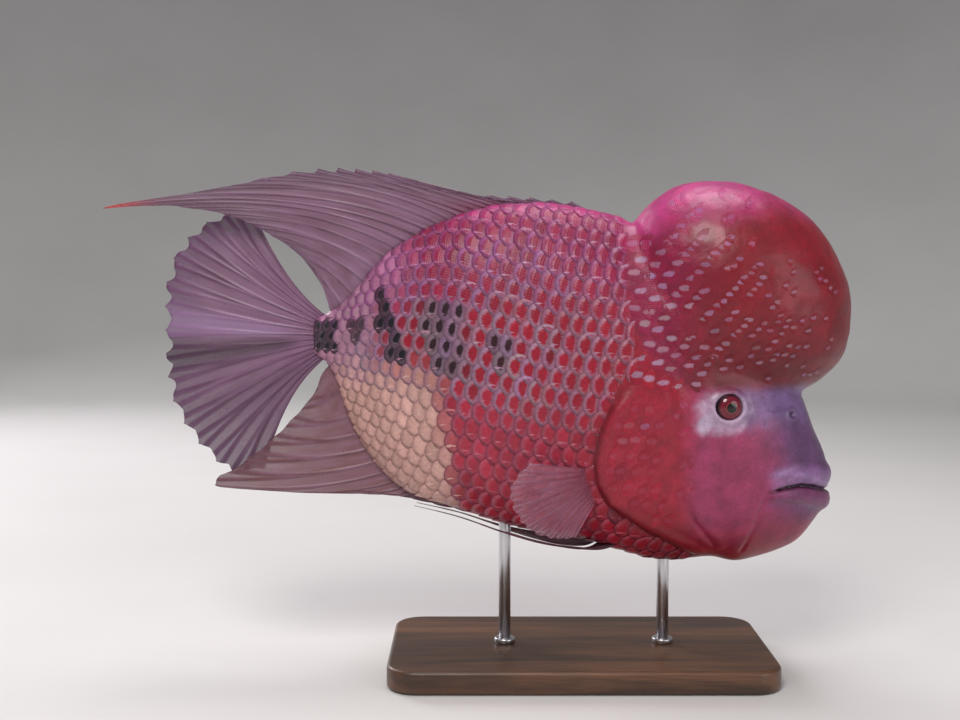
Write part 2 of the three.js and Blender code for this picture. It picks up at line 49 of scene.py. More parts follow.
def smoothStep(low, high, value):
    t = clamp((value - low) / (high - low))
    return t * t * (3 - 2 * t)


def bell(distance, width):
    return math.exp(-((distance / width) ** 2))


def mixed(a, b, share):
    return [p + (q - p) * share for p, q in zip(a, b)]


def smoothTable(rows):
    # smooth values between the rows, with no overshoot
    slopes = [[(q - p) / (b[0] - a[0]) for p, q in zip(a, b)] for a, b in zip(rows, rows[1:])]
    tangents = []
    for i, row in enumerate(rows):
        if i == 0:
            tangents.append(slopes[0])
        elif i == len(rows) - 1:
            tangents.append(slopes[-1])
        else:
            pairs = zip(slopes[i - 1], slopes[i])
            tangents.append([0.0 if a * b <= 0 else 2 * a * b / (a + b) for a, b in pairs])

    def at(x):
        i = 0
        while i < len(rows) - 2 and x > rows[i + 1][0]:
            i += 1
        span = rows[i + 1][0] - rows[i][0]
        t = clamp((x - rows[i][0]) / span)
        t2, t3 = t * t, t * t * t
        return [p * (2 * t3 - 3 * t2 + 1) + q * (3 * t2 - 2 * t3) + span * (m * (t3 - 2 * t2 + t) + n * (t3 - t2))
                for p, q, m, n in zip(rows[i], rows[i + 1], tangents[i], tangents[i + 1])]
    return at


def curveThrough(points):
    # an even Catmull-Rom curve; 0 is the first point and 1 the last
    ends = [mixed(points[1], points[0], 2)] + [list(p) for p in points] + [mixed(points[-2], points[-1], 2)]

    def at(t):
        place = clamp(t) * (len(points) - 1)
        i = min(int(place), len(points) - 2)
        s = place - i
        a, b, c, d = ends[i:i + 4]
        return [0.5 * (2 * q + (r - p) * s + (2 * p - 5 * q + 4 * r - w) * s * s + (3 * q - p - 3 * r + w) * s ** 3)
                for p, q, r, w in zip(a, b, c, d)]
    return at


def distanceTo(line, x, z):
    least = 1e9
    for (ax, az), (bx, bz) in zip(line, line[1:]):
        dx, dz = bx - ax, bz - az
        t = clamp(((x - ax) * dx + (z - az) * dz) / (dx * dx + dz * dz))
        least = min(least, math.hypot(x - ax - t * dx, z - az - t * dz))
    return least


def signedTo(line, x, z):
    # distance to a line that runs downwards, positive towards the snout
    edge = line[0][0]
    for (ax, az), (bx, bz) in zip(line, line[1:]):
        if bz <= z <= az:
            edge = ax + (bx - ax) * (az - z) / (az - bz)
    if z < line[-1][1]:
        edge = line[-1][0]
    return math.copysign(distanceTo(line, x, z), x - edge)


def rgb(red, green, blue):
    # a colour given 0 to 255, turned into the linear values that shaders take
    return [c / 12.92 if c <= 0.04045 else ((c + 0.055) / 1.055) ** 2.4 for c in (red / 255, green / 255, blue / 255)]


def wobble(x, y, z, size, seed=0.0):
    return noise.noise(Vector((x / size + seed, y / size - seed, z / size + 2 * seed)))


def modelPoint(point):
    return Vector((point[0], point[1], point[2] - floorLevel)) * mm


def tablePlace(vert):
    # where a corner lies, in the tables' millimetres
    x, y, z = vert.co / mm
    return x, y, z + floorLevel


def smoothed(bm, verts, factor=0.5):
    bmesh.ops.smooth_vert(bm, verts=verts, factor=factor, use_axis_x=True, use_axis_y=True, use_axis_z=True)


def beveled(bm, edges, width, segments):
    bmesh.ops.bevel(bm, geom=edges, offset=width * mm, offset_type="OFFSET", segments=segments, profile=0.5,
                    affect="EDGES", material=-1)


def triangleCount(bm):
    return sum(len(f.verts) - 2 for f in bm.faces)


def objectFrom(bm, name, material):
    mesh = bpy.data.meshes.new(name)
    bm.to_mesh(mesh)
    bm.free()
    for polygon in mesh.polygons:
        polygon.use_smooth = True
    mesh.materials.append(material)
    made = bpy.data.objects.new(name, mesh)
    bpy.context.scene.collection.objects.link(made)
    return made


def pieceFrom(bm, name, material, replaced=()):
    piece = objectFrom(bm, name, material)
    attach(piece, "root")
    if replaced:
        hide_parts(*replaced)
    return piece


# the fish's own sizes, in the tables' millimetres
body = {
    # x, back line, belly line, half width, level of the widest point
    "stations": [
        [-106.4, 147.0, 132.0, 3.6, 139.5], [-101.6, 148.8, 129.2, 4.2, 139.0], [-97.5, 151.5, 122.0, 5.2, 138.0],
        [-94.0, 154.4, 110.5, 6.4, 136.0], [-88.8, 159.5, 98.8, 8.6, 133.0], [-83.2, 166.3, 90.0, 11.0, 130.0],
        [-76.0, 173.5, 82.0, 14.0, 128.0], [-68.0, 179.2, 76.0, 17.0, 127.0], [-56.0, 185.2, 71.8, 20.6, 126.0],
        [-44.0, 189.6, 68.2, 23.6, 125.0], [-32.0, 192.2, 64.2, 25.8, 123.0], [-20.0, 193.0, 61.2, 27.6, 121.0],
        [-8.0, 192.2, 59.2, 29.0, 119.0], [4.0, 190.0, 56.8, 30.0, 117.0], [16.0, 187.0, 53.2, 30.8, 115.0],
        [28.0, 181.0, 50.2, 31.2, 112.0], [40.0, 172.4, 49.6, 31.0, 109.0], [52.0, 162.0, 50.8, 30.2, 106.0],
        [62.0, 152.0, 48.8, 28.6, 104.0], [72.0, 140.8, 50.8, 25.4, 101.0], [80.0, 130.6, 53.4, 21.6, 98.0],
        [86.4, 120.5, 56.4, 17.6, 94.0], [90.0, 111.6, 59.8, 15.0, 90.6], [92.4, 105.0, 63.0, 13.0, 88.0],
        [95.2, 99.2, 66.8, 10.4, 84.5], [97.4, 94.4, 70.6, 7.6, 82.5], [98.6, 90.6, 74.0, 5.0, 81.5],
        [99.2, 87.2, 77.0, 2.8, 81.5],
    ],
    "coat": 0.55,        # how deep the skin lies under the solids where scales cover it
    "bare": 0.2,         # and where they don't
    "voxel": 1.2,
    "smoothing": 4,
    "napeSmoothing": 16,
}
hump = {
    "centre": (62.8, 157.2),
    "halfWidth": 35.0,
    "inset": 0.3,
    "radii": [
        [0, 43.9], [30, 40.6], [50, 40.2], [75, 41.6], [98, 44.8], [122, 49.0], [140, 50.6], [156, 49.4],
        [180, 46.0], [225, 43.0], [270, 43.0], [300, 46.6], [313, 48.4], [325, 49.0], [337, 47.4], [350, 44.9],
        [360, 43.9],
    ],
}
face = {
    "gillSeam": [
        (20.8, 205), (19, 160), (22.8, 129), (15.4, 120.4), (9.6, 113), (6.2, 104.4), (4.2, 94), (5.2, 84.2),
        (10, 75.4), (21.6, 67.6), (34, 60.4), (44.6, 54), (50, 38),
    ],
    "gillFlare": 1.8,
    # folds beside a line: distance ahead of it, height, width
    "gillFolds": [(-1.5, -0.55, 1.0), (3.0, 0.35, 1.4), (5.6, -0.25, 1.2)],
    "cheekFolds": [(0.0, -0.55, 0.9), (2.6, 0.45, 2.2)],
    "cheekRidge": [(31, 123.4), (33.6, 112), (34.2, 101.4), (33.6, 91), (36.2, 80.4), (43, 69), (51.6, 59.2)],
    "jawFold": [(71.5, 80), (68.5, 74), (66.5, 66), (63, 56)],
    "mouth": [(72, 80.8), (78, 82.2), (84, 82.7), (90, 81.6), (96.4, 79.4), (108, 76.4)],
    # lips: x, distance from the middle, height above the mouth line, half height, half depth
    "upperLip": [
        [71.5, 24.0, 0.8, 1.4, 1.4], [78.0, 21.6, 2.6, 2.8, 2.4], [84.0, 18.2, 3.5, 3.6, 2.8],
        [90.0, 13.6, 4.2, 4.2, 3.1], [94.8, 8.2, 5.0, 4.6, 3.3], [97.2, 3.2, 5.6, 4.7, 3.4],
    ],
    "lowerLip": [
        [71.5, 23.8, -1.2, 1.4, 1.4], [78.0, 21.2, -2.8, 2.6, 2.4], [84.0, 18.0, -3.7, 3.5, 2.8],
        [90.0, 13.4, -4.2, 4.0, 3.1], [94.8, 8.0, -4.5, 4.3, 3.3], [97.0, 3.0, -4.6, 4.4, 3.4],
    ],
    "lipCreases": (2.6, 4.6, 6.2),
    "pores": [
        (47, 103), (52, 101), (58, 101), (64, 103), (69, 107), (40, 92), (41, 83), (46, 74), (75, 100), (80, 96),
    ],
}
eye = {
    "x": 54.4, "z": 114.2, "side": 27.2, "radius": 5.6, "flatness": 0.78, "turn": 0.16,
    "socket": 3.4,          # how deep the skin sinks behind it
    "folds": [(6.2, 1.15, 1.25), (9.2, -0.25, 0.9)],
}
nostril = {"x": 80.6, "z": 110.4, "rim": 1.9, "rimHeight": 0.55, "depth": 1.7}

bodyAt = smoothTable(body["stations"])
humpAt = smoothTable(hump["radii"])
mouthAt = smoothTable([list(p) for p in face["mouth"]])
tailEnd, snoutEnd = body["stations"][0][0], body["stations"][-1][0]


def sectionPoint(x, angle, grow=0.0):
    # a point of the body's section: angle 0 is the back, a half turn the belly, positive on the left
    _, top, bottom, half, widest = bodyAt(x)
    up, out = math.cos(angle), math.sin(angle)
    height = (top - widest if up > 0 else widest - bottom) + grow
    return [x, (half + grow) * out, widest + height * up]


def flankAt(x, z):
    _, top, bottom, half, widest = bodyAt(x)
    share = (z - widest) / (top - widest) if z > widest else (widest - z) / (widest - bottom)
    return half * math.sqrt(max(0.0, 1 - share * share))


def humpReach(x, z):
    # below 1 inside the hump's outline, seen from the side
    dx, dz = x - hump["centre"][0], z - hump["centre"][1]
    return math.hypot(dx, dz) / humpAt(math.degrees(math.atan2(dz, dx)) % 360)[1]


# colours by place, shared by the skin and the scales
tints = {
    "crimson": rgb(146, 18, 42),
    # painted shade: the deep red of the hump's lower half and of the fold under the gill cover
    "shadeRed": rgb(92, 8, 22),
    "backRed": rgb(134, 20, 62),
    # painted highlight: the pink of light falling on the hump's top and along the back's ridge
    "pinkHighlight": rgb(176, 42, 116),
    "humpSide": rgb(126, 12, 30),
    "lowRed": rgb(176, 50, 74),
    "belly": rgb(158, 26, 48),
    "breast": rgb(132, 12, 28),
    "cream": rgb(202, 158, 148),
    "rearLilac": rgb(164, 126, 148),
    "rearUpper": rgb(188, 120, 162),
    "cheek": rgb(150, 50, 90),
    "gill": rgb(152, 26, 50),
    "eyePatch": rgb(186, 170, 192),
    "noseBand": rgb(116, 92, 136),
    "snout": rgb(96, 58, 102),
    "upperLip": rgb(150, 114, 160),
    "lowerLip": rgb(124, 56, 98),
    "chin": rgb(136, 30, 60),
    # painted shade in the gap between the lips
    "mouthGapShade": rgb(34, 8, 18),
    "rim": rgb(158, 122, 146),
    "backRim": rgb(152, 88, 134),
    "black": rgb(16, 14, 24),
}


def layered(color, *coats):
    # coats of colour laid over one another, each with its strength
    for name, strength in coats:
        color = mixed(color, tints[name], strength)
    return color


def zoneTint(x, y, z):
    side = abs(y)
    _, top, bottom, _, _ = bodyAt(x)
    height = (z - bottom) / max(1.0, top - bottom)
    grain = 3.5 * wobble(x, side, z, 9)
    # the rear is grey-lilac above and cream below
    rear = 1 - smoothStep(-88, -72, x + grain)
    creamEdge = -52.5 + grain + 2.4 * wobble(x, side, z, 4, 3.0) + 0.14 * (92 - z)
    cream = (1 - smoothStep(-5, 4, x - creamEdge)) * (1 - smoothStep(118, 136, z + 0.8 * grain))
    color = layered(
        tints["crimson"],
        ("backRed", smoothStep(0.62, 0.86, height)),
        ("lowRed", 0.75 * bell(height - 0.24, 0.16) * (1 - smoothStep(-24, 12, x))),
        ("belly", 1 - smoothStep(0.03, 0.2, height)),
        ("rearLilac", 0.85 * rear * smoothStep(108, 126, z)),
        ("cream", cream),
        ("rearUpper", 0.85 * bell(math.hypot((x + 78) / 9, (z - 168) / 13), 1)),
        ("rearUpper", 0.5 * (1 - smoothStep(-106, -92, x))),
        ("breast", 0.9 * bell(math.hypot(x - 46, (z - 46) * 1.4), 26)))
    ahead = signedTo(face["gillSeam"], x, z)
    if ahead > -2:
        # the pale patch round the eye, bluer towards the nose
        ragged = 1.6 * wobble(x, y, z, 3.2, 13.0)
        upper = 1 - smoothStep(119.5, 124.0, z + ragged)
        ring = math.hypot((x - 52.5) / 11.5, (z - 112.0) / 9.0) + 0.16 * ragged
        lobe = math.hypot((x - 45.5 - 0.3 * (z - 108)) / 3.6, (z - 108.5) / 5.0) + 0.10 * ragged
        patch = max(0.85 * (1 - smoothStep(0.55, 1.2, ring)), 1 - smoothStep(0.6, 1.3, lobe)) * upper
        band = 0.8 * smoothStep(50, 62, x) * (1 - smoothStep(84, 93, x))
        headColor = layered(
            tints["gill"],
            ("cheek", smoothStep(34, 46, x + 0.6 * grain)),
            ("crimson", smoothStep(110, 122, z) * (1 - smoothStep(32, 46, x))),
            ("snout", smoothStep(62, 84, x + 0.25 * (z - 100) + grain)),
            ("chin", (1 - smoothStep(60, 76, z)) * smoothStep(44, 70, x)),
            ("breast", 1 - smoothStep(50, 70, z + 0.35 * (x - 60))),
            ("noseBand", band * smoothStep(102, 112, z + 1.5 * ragged) * upper),
            ("eyePatch", 0.92 * patch))
        color = mixed(color, headColor, smoothStep(-1.0, 1.5, ahead))
    # the hump is deep red at its sides and front; a painted highlight turns its top pink, and painted shade darkens
    # its lower half
    reach = humpReach(x, z)
    if reach < 1.1 and z > 118:
        lift = (z - hump["centre"][1]) / 44
        # crown: where the painted highlight lies, high on the hump and towards its middle
        crown = smoothStep(0.3, 0.95, lift - 0.2 * (x - 62) / 44 - 0.3 * side / 35 + 0.2 * wobble(x, y, z, 16))
        # painted shade darkens the hump's lower half
        humpColor = layered(tints["humpSide"], ("shadeRed", 0.7 * smoothStep(-0.1, -0.9, lift)))
        humpColor = mixed(tints["backRed"], humpColor, smoothStep(24, 56, x + 0.2 * (150 - z) + grain))
        humpColor = mixed(humpColor, tints["pinkHighlight"], crown)
        color = mixed(color, humpColor, smoothStep(1.1, 0.95, reach) * smoothStep(118, 124, z))
    # a painted highlight: glossy pink along the ridge of the back
    ridge = bell(z - top, 4.0) * smoothStep(-66, -36, x) * (1 - smoothStep(20, 32, x))
    color = layered(color, ("pinkHighlight", 0.85 * ridge))
    if x > 68 and z < 96:
        rise = z - mouthAt(x)[1]
        near = smoothStep(69, 76, x)
        # streak: a painted highlight along the upper lip's bulge, strengthening the lip's own pale colour
        streak = 0.6 + 0.4 * bell(rise - 3.6 - 0.18 * (90 - x), 1.3)
        color = layered(
            color,
            ("upperLip", streak * near * smoothStep(0.0, 1.2, rise) * (1 - smoothStep(6, 10, rise))),
            ("lowerLip", 0.8 * near * smoothStep(0.0, 1.2, -rise) * (1 - smoothStep(6, 9.5, -rise))),
            # painted shade along the mouth gap, where the skin sinks between the lips
            ("mouthGapShade", near * bell(rise, 0.85)))
    # the shaded fold behind and under the gill cover
    color = layered(color, ("shadeRed", 0.8 * bell(ahead + 1.0, 1.5) * (1 - smoothStep(112, 122, z))))
    mottle = 1 + 0.16 * wobble(x, y, z, 5.5, 7.0) + 0.10 * wobble(x, y, z, 2.2, 11.0)
    return [clamp(c * mottle) for c in color]


# black marks, patches where scales turn dark: place, half length, half height, strength, share of scales
marks = [
    (-101.8, 140.2, 4.8, 6.0, 1.0, 1.0),
    (-90.2, 141.6, 4.0, 5.5, 0.85, 0.8),
    (-77.4, 148.5, 3.2, 8.5, 1.0, 1.0), (-73.0, 138.5, 4.2, 9.0, 1.0, 0.9),
    (-54.8, 139.0, 9.0, 14.5, 0.95, 0.95),
    (-33.0, 133.8, 3.4, 6.4, 0.9, 0.95),
    (-12.8, 134.0, 3.0, 6.0, 0.3, 0.9),
]


def markDarkness(x, z, choice=0.0):
    dark = 0.0
    for mx, mz, halfLength, halfHeight, strength, share in marks:
        spread = max(abs(x - mx) / halfLength, abs(z - mz) / halfHeight)
        if choice <= share:
            dark = max(dark, strength * (1 - smoothStep(0.9, 1.05, spread)))
    return dark


def newMaterial(name, roughness=0.4, coat=0.0, coatRoughness=0.2, specular=0.5, metallic=0.0):
    material = bpy.data.materials.new(name)
    material.use_nodes = True
    shader = material.node_tree.nodes["Principled BSDF"]
    shader.inputs["Roughness"].default_value = roughness
    shader.inputs["Coat Weight"].default_value = coat
    shader.inputs["Coat Roughness"].default_value = coatRoughness
    shader.inputs["Specular IOR Level"].default_value = specular
    shader.inputs["Metallic"].default_value = metallic
    return material, material.node_tree, shader


def node(tree, kind, values=(), **settings):
    made = tree.nodes.new(kind)
    for key, value in settings.items():
        setattr(made, key, value)
    for socket, value in values:
        made.inputs[socket].default_value = value
    return made


def link(start, end):
    start.id_data.links.new(start, end)


def feed(made, values):
    # each socket takes a number, a colour or another node's output
    for socket, value in values:
        if isinstance(value, bpy.types.NodeSocket):
            link(value, made.inputs[socket])
        else:
            made.inputs[socket].default_value = (*value, 1) if isinstance(value, (list, tuple)) else value


def treeOf(*values):
    return next(v.id_data for v in values if isinstance(v, bpy.types.NodeSocket))


def mathNode(operation, a, b=0.5, clamped=False):
    made = node(treeOf(a, b), "ShaderNodeMath", operation=operation, use_clamp=clamped)
    feed(made, ((0, a), (1, b)))
    return made.outputs[0]


def plus(a, b, clamped=False):
    return mathNode("ADD", a, b, clamped)


def minus(a, b, clamped=False):
    return mathNode("SUBTRACT", a, b, clamped)


def times(a, b):
    return mathNode("MULTIPLY", a, b)


def ramp(factor, stops):
    made = node(factor.id_data, "ShaderNodeValToRGB")
    elements = made.color_ramp.elements
    while len(elements) < len(stops):
        elements.new(0.5)
    for element, (place, color) in zip(elements, stops):
        element.position = place
        element.color = (*color, 1)
    link(factor, made.inputs[0])
    return made.outputs[0]


def fade(factor, low, high):
    # black up to low and white from high on
    return ramp(factor, [(low, (0, 0, 0)), (high, (1, 1, 1))])


def mixColor(factor, a, b, blend="MIX"):
    made = node(treeOf(factor, a, b), "ShaderNodeMix", data_type="RGBA", blend_type=blend)
    feed(made, ((0, factor), (6, a), (7, b)))
    return made.outputs[2]


def multiplied(color, *shades):
    for shade in shades:
        color = mixColor(1.0, color, shade, "MULTIPLY")
    return color


def halves(tree, vector):
    split = node(tree, "ShaderNodeSeparateXYZ")
    link(vector, split.inputs[0])
    return split.outputs[0], split.outputs[1]


def objectPlace(tree, stretch=(1, 1, 1)):
    where = node(tree, "ShaderNodeTexCoord")
    turn = node(tree, "ShaderNodeMapping", values=[("Scale", stretch)])
    link(where.outputs["Object"], turn.inputs["Vector"])
    return turn.outputs[0]


def objectNoise(tree, scale, detail=3.0, stretch=(1, 1, 1), distortion=0.0):
    made = node(tree, "ShaderNodeTexNoise", values=[
        ("Scale", scale), ("Detail", detail), ("Distortion", distortion)])
    link(objectPlace(tree, stretch), made.inputs["Vector"])
    return made.outputs["Fac"]


def bump(shader, heights, strength=0.5, distance=0.0004):
    last = None
    for height, depth in heights:
        made = node(shader.id_data, "ShaderNodeBump", values=[("Strength", strength), ("Distance", distance * depth)])
        link(height, made.inputs["Height"])
        if last:
            link(last.outputs[0], made.inputs["Normal"])
        last = made
    link(last.outputs[0], shader.inputs["Normal"])


def skinMaterial():
    material, tree, shader = newMaterial("wetSkin", roughness=0.44, coat=0.22, coatRoughness=0.2, specular=0.4)
    tint = node(tree, "ShaderNodeAttribute", attribute_name="tint").outputs["Color"]
    blotch = ramp(objectNoise(tree, 130, 4), [(0.35, (0.80, 0.76, 0.80)), (0.68, (1.12, 1.08, 1.12))])
    speck = ramp(objectNoise(tree, 900, 2), [(0.3, (0.86, 0.84, 0.86)), (0.7, (1.08, 1.08, 1.08))])
    link(multiplied(tint, blotch, speck), shader.inputs["Base Color"])
    shader.inputs["Subsurface Weight"].default_value = 0.06
    shader.inputs["Subsurface Radius"].default_value = (0.004, 0.0012, 0.0012)
    cells = node(tree, "ShaderNodeTexVoronoi", values=[("Scale", 300.0), ("Randomness", 0.75)])
    link(objectPlace(tree), cells.inputs["Vector"])
    bump(shader, [
        (cells.outputs["Distance"], 0.5), (objectNoise(tree, 420, 4), 0.7), (objectNoise(tree, 1500, 2), 0.4)])
    return material


def scaleMaterial(name, core, fleck):
    # the plate's own map: across runs -1 to 1 and back 0 at the buried root to 1 at the free edge
    # core: its middle's place on back, its half length and its half height
    material, tree, shader = newMaterial(name, roughness=0.42, coat=0.14, coatRoughness=0.22, specular=0.32)
    base = node(tree, "ShaderNodeAttribute", attribute_name="tint")
    rim = node(tree, "ShaderNodeAttribute", attribute_name="rim")
    across, back = halves(tree, node(tree, "ShaderNodeUVMap", uv_map="plateMap").outputs[0])
    middle, halfLength, halfHeight = core
    ragged = times(minus(objectNoise(tree, 620, 3), 0.5), 0.7)
    tall = mathNode("DIVIDE", across, halfHeight)
    long = mathNode("DIVIDE", minus(back, middle), halfLength)
    spread = mathNode("SQRT", plus(times(tall, tall), times(long, long)))
    # black scales show as slimmer dashes
    spread = times(spread, plus(times(base.outputs["Alpha"], 0.35), 1.0))
    inside, outside = ((1, 1, 1), (0, 0, 0)) if fleck else ((0, 0, 0), (1, 1, 1))
    mask = ramp(plus(spread, ragged), [(0.62, inside), (1.0, outside)])
    mask = times(times(mask, fade(back, 0.40, 0.54)), rim.outputs["Alpha"])
    color = mixColor(mask, base.outputs["Color"], rim.outputs["Color"])
    # edge: painted contact shadow, darkening each scale's free edge where it lies over the next
    edge = ramp(back, [(0.94, (1, 1, 1)), (1.0, (0.78, 0.72, 0.76))])
    speck = ramp(objectNoise(tree, 700, 3), [(0.3, (0.84, 0.82, 0.84)), (0.7, (1.1, 1.1, 1.1))])
    link(multiplied(color, edge, speck), shader.inputs["Base Color"])
    rings = mathNode("SINE", times(back, 70.0))
    fan = mathNode("SINE", times(across, 30.0))
    bump(shader, [(rings, 0.12), (fan, 0.08), (objectNoise(tree, 900, 3), 0.4)])
    return material


# a ray forks from here outwards, and its halves part this fast; the shape and the colour share both
forkFrom, forkSpread = 0.42, 0.42


def finMaterial(name, membrane, rayColor, tipColor, rays, solidity):
    material, tree, shader = newMaterial(name, roughness=0.38, coat=0.25, coatRoughness=0.2)
    across, along = halves(tree, node(tree, "ShaderNodeUVMap", uv_map="finMap").outputs[0])
    # a ray lies wherever across is a whole number of ray gaps
    phase = times(across, float(rays - 1))
    nearest = mathNode("ABSOLUTE", minus(phase, mathNode("ROUND", phase, 0)))
    offRay = mathNode("ABSOLUTE", minus(nearest, times(minus(along, forkFrom, clamped=True), forkSpread)))
    ray = ramp(offRay, [(0.03, (1, 1, 1)), (0.16, (0, 0, 0))])
    streak = node(tree, "ShaderNodeTexNoise", values=[("Scale", 1.0), ("Detail", 3.0)])
    stretch = node(tree, "ShaderNodeCombineXYZ")
    feed(stretch, ((0, times(across, 42.0)), (1, times(along, 3.0))))
    link(stretch.outputs[0], streak.inputs["Vector"])
    color = mixColor(ray, membrane, rayColor)
    color = mixColor(fade(streak.outputs["Fac"], 0.38, 0.62), color, mixColor(0.4, color, rgb(164, 126, 160)))
    tint = node(tree, "ShaderNodeAttribute", attribute_name="tint")
    color = mixColor(fade(along, 0.80, 1.0), color, tipColor)
    link(mixColor(tint.outputs["Alpha"], color, tint.outputs["Color"]), shader.inputs["Base Color"])
    thick = plus(times(ray, 0.35), solidity)
    thin = times(minus(1.0, along), 0.7 * solidity)
    link(plus(thick, thin, clamped=True), shader.inputs["Alpha"])
    shader.inputs["Subsurface Weight"].default_value = 0.15
    shader.inputs["Subsurface Radius"].default_value = (0.003, 0.0015, 0.002)
    joints = mathNode("SINE", times(along, 260.0))
    bump(shader, [(ray, 0.9), (joints, 0.10), (objectNoise(tree, 600, 3), 0.4)])
    return material


def eyeMaterial():
    material, tree, shader = newMaterial("iris", roughness=0.5, coat=1.0, coatRoughness=0.03, specular=0.1)
    gaze = node(tree, "ShaderNodeAttribute", attribute_name="gaze").outputs["Fac"]
    color = ramp(plus(gaze, times(minus(objectNoise(tree, 1400, 3), 0.5), 0.08)), [
        (0.0, rgb(3, 2, 4)), (0.335, rgb(4, 2, 4)), (0.37, rgb(150, 66, 56)), (0.42, rgb(92, 10, 32)),
        (0.66, rgb(116, 14, 42)), (0.80, rgb(66, 8, 24)), (0.88, rgb(26, 8, 16))])
    link(color, shader.inputs["Base Color"])
    bump(shader, [(objectNoise(tree, 1800, 2), 0.4)])
    return material


def woodMaterial():
    material, tree, shader = newMaterial("walnut", roughness=0.45, coat=0.25, coatRoughness=0.3)
    grain = objectNoise(tree, 2.0, 6.0, (4.0, 46.0, 46.0), distortion=1.2)
    color = ramp(grain, [(0.3, rgb(46, 28, 18)), (0.5, rgb(84, 54, 34)), (0.7, rgb(112, 74, 46))])
    fine = objectNoise(tree, 60, 4, (1.2, 40, 40))
    dark = ramp(fine, [(0.35, (0.62, 0.6, 0.58)), (0.6, (1, 1, 1))])
    link(multiplied(color, dark), shader.inputs["Base Color"])
    bump(shader, [(fine, 0.5)])
    return material


def steelMaterial():
    material, tree, shader = newMaterial("brushedSteel", roughness=0.3, metallic=1.0)
    brushed = objectNoise(tree, 40, 3, (30, 30, 1))
    link(ramp(brushed, [(0.3, (0.50, 0.50, 0.52)), (0.7, (0.74, 0.74, 0.76))]), shader.inputs["Base Color"])
    link(plus(times(brushed, 0.25), 0.18), shader.inputs["Roughness"])
    return material


def foldedTube(bm, rings, sides, place):
    # a grid rolled into a closed tube, its ends filled
    made = bmesh.ops.create_grid(bm, x_segments=rings, y_segments=sides, size=0.5)
    for vert in made["verts"]:
        vert.co = modelPoint(place(clamp(vert.co.x + 0.5), clamp(vert.co.y + 0.5)))
    bmesh.ops.remove_doubles(bm, verts=made["verts"], dist=1e-6)
    bmesh.ops.holes_fill(bm, edges=[e for e in bm.edges if e.is_boundary])


def bodyShell(bm):
    def place(along, around):
        share = 0.55 * along + 0.45 * (0.5 - 0.5 * math.cos(math.pi * along))
        x = tailEnd + (snoutEnd - tailEnd) * share
        depth = body["coat"] + (body["bare"] - body["coat"]) * smoothStep(14, 34, x)
        return sectionPoint(x, 2 * math.pi * around, -depth)
    foldedTube(bm, 190, 120, place)


def humpShell(bm):
    made = bmesh.ops.create_uvsphere(bm, u_segments=110, v_segments=70, radius=1.0)
    cx, cz = hump["centre"]
    half = hump["halfWidth"] - hump["inset"]
    for vert in made["verts"]:
        x, z, y = vert.co
        turn = math.atan2(z, x)
        reach = (humpAt(math.degrees(turn) % 360)[1] - hump["inset"]) * math.hypot(x, z) ** 0.92
        vert.co = modelPoint((cx + reach * math.cos(turn), half * y, cz + reach * math.sin(turn)))
    bmesh.ops.reverse_faces(bm, faces=list({f for v in made["verts"] for f in v.link_faces}))


def lipShell(bm, rows):
    right = [[x, -y, mouthAt(x)[1] + rise, high, deep] for x, y, rise, high, deep in rows]
    front = [rows[-1][0] + 0.4, 0.0, right[-1][2] + 0.05, right[-1][3], right[-1][4]]
    left = [[x, -y, *rest] for x, y, *rest in reversed(right)]
    route = curveThrough(right + [front] + left)

    def place(along, around):
        x, y, z, high, deep = route(along)
        ahead = Vector(route(along + 0.01)[:2]) - Vector(route(along - 0.01)[:2])
        out = Vector((ahead.y, -ahead.x)).normalized()
        turn = 2 * math.pi * around
        return [x + out.x * deep * math.cos(turn), y + out.y * deep * math.cos(turn), z - high * math.sin(turn)]
    foldedTube(bm, 90, 26, place)


def folds(distance, rows):
    return sum(height * bell(distance - at, width) for at, height, width in rows)


def faceRelief(x, y, z):
    # how far the skin stands out or sinks in at a place on the head
    ahead = signedTo(face["gillSeam"], x, z)
    rise = 0.0
    if ahead > -8:
        cover = smoothStep(50, 62, z) * (1 - smoothStep(112, 126, z))
        rise += face["gillFlare"] * smoothStep(-0.7, 0.7, ahead) * bell(ahead, 15) * cover
        rise += folds(ahead, face["gillFolds"]) * cover
        if z > 57:
            rise += folds(signedTo(face["cheekRidge"], x, z), face["cheekFolds"])
    if x > 40 and abs(y) > 8:
        around = math.hypot(x - eye["x"], (z - eye["z"]) / 0.9)
        rise += folds(around, eye["folds"]) - eye["socket"] * (1 - smoothStep(4.5, 5.4, around))
        rise -= sum(0.35 * bell(math.hypot(x - px, z - pz), 0.55) for px, pz in face["pores"])
        hole = math.hypot(x - nostril["x"], z - nostril["z"])
        rise += nostril["rimHeight"] * bell(hole - nostril["rim"], 0.6)
        rise -= nostril["depth"] * (1 - smoothStep(0.5, 1.3, hole))
        rise -= 0.5 * bell(distanceTo(face["jawFold"], x, z), 0.9)
    if x > 71:
        rise -= 2.0 * bell(distanceTo(face["mouth"], x, z), 0.6) * smoothStep(71.5, 76, x)
        fromMouth = abs(z - mouthAt(x)[1])
        rise -= 0.10 * smoothStep(74, 80, x) * sum(bell(fromMouth - level, 0.35) for level in face["lipCreases"])
    return rise


def oneSurface(bm):
    # body, hump and lips run together into one skin
    rough = bpy.data.meshes.new("roughSkin")
    bm.to_mesh(rough)
    bm.free()
    lump = bpy.data.objects.new("roughSkin", rough)
    bpy.context.scene.collection.objects.link(lump)
    remesh = lump.modifiers.new("oneSkin", "REMESH")
    remesh.mode = "VOXEL"
    remesh.voxel_size = body["voxel"] * mm
    merged = bpy.data.meshes.new_from_object(lump.evaluated_get(bpy.context.evaluated_depsgraph_get()))
    bpy.data.objects.remove(lump)
    bm = bmesh.new()
    bm.from_mesh(merged)
    bpy.data.meshes.remove(merged)
    return bm


def inFace(vert):
    x, _, z = tablePlace(vert)
    return x > 42 and z < 124 and humpReach(x, z) > 0.9


def onNape(vert):
    x, y, z = tablePlace(vert)
    return 12 < x < 50 and z > 114 and abs(y) > 6


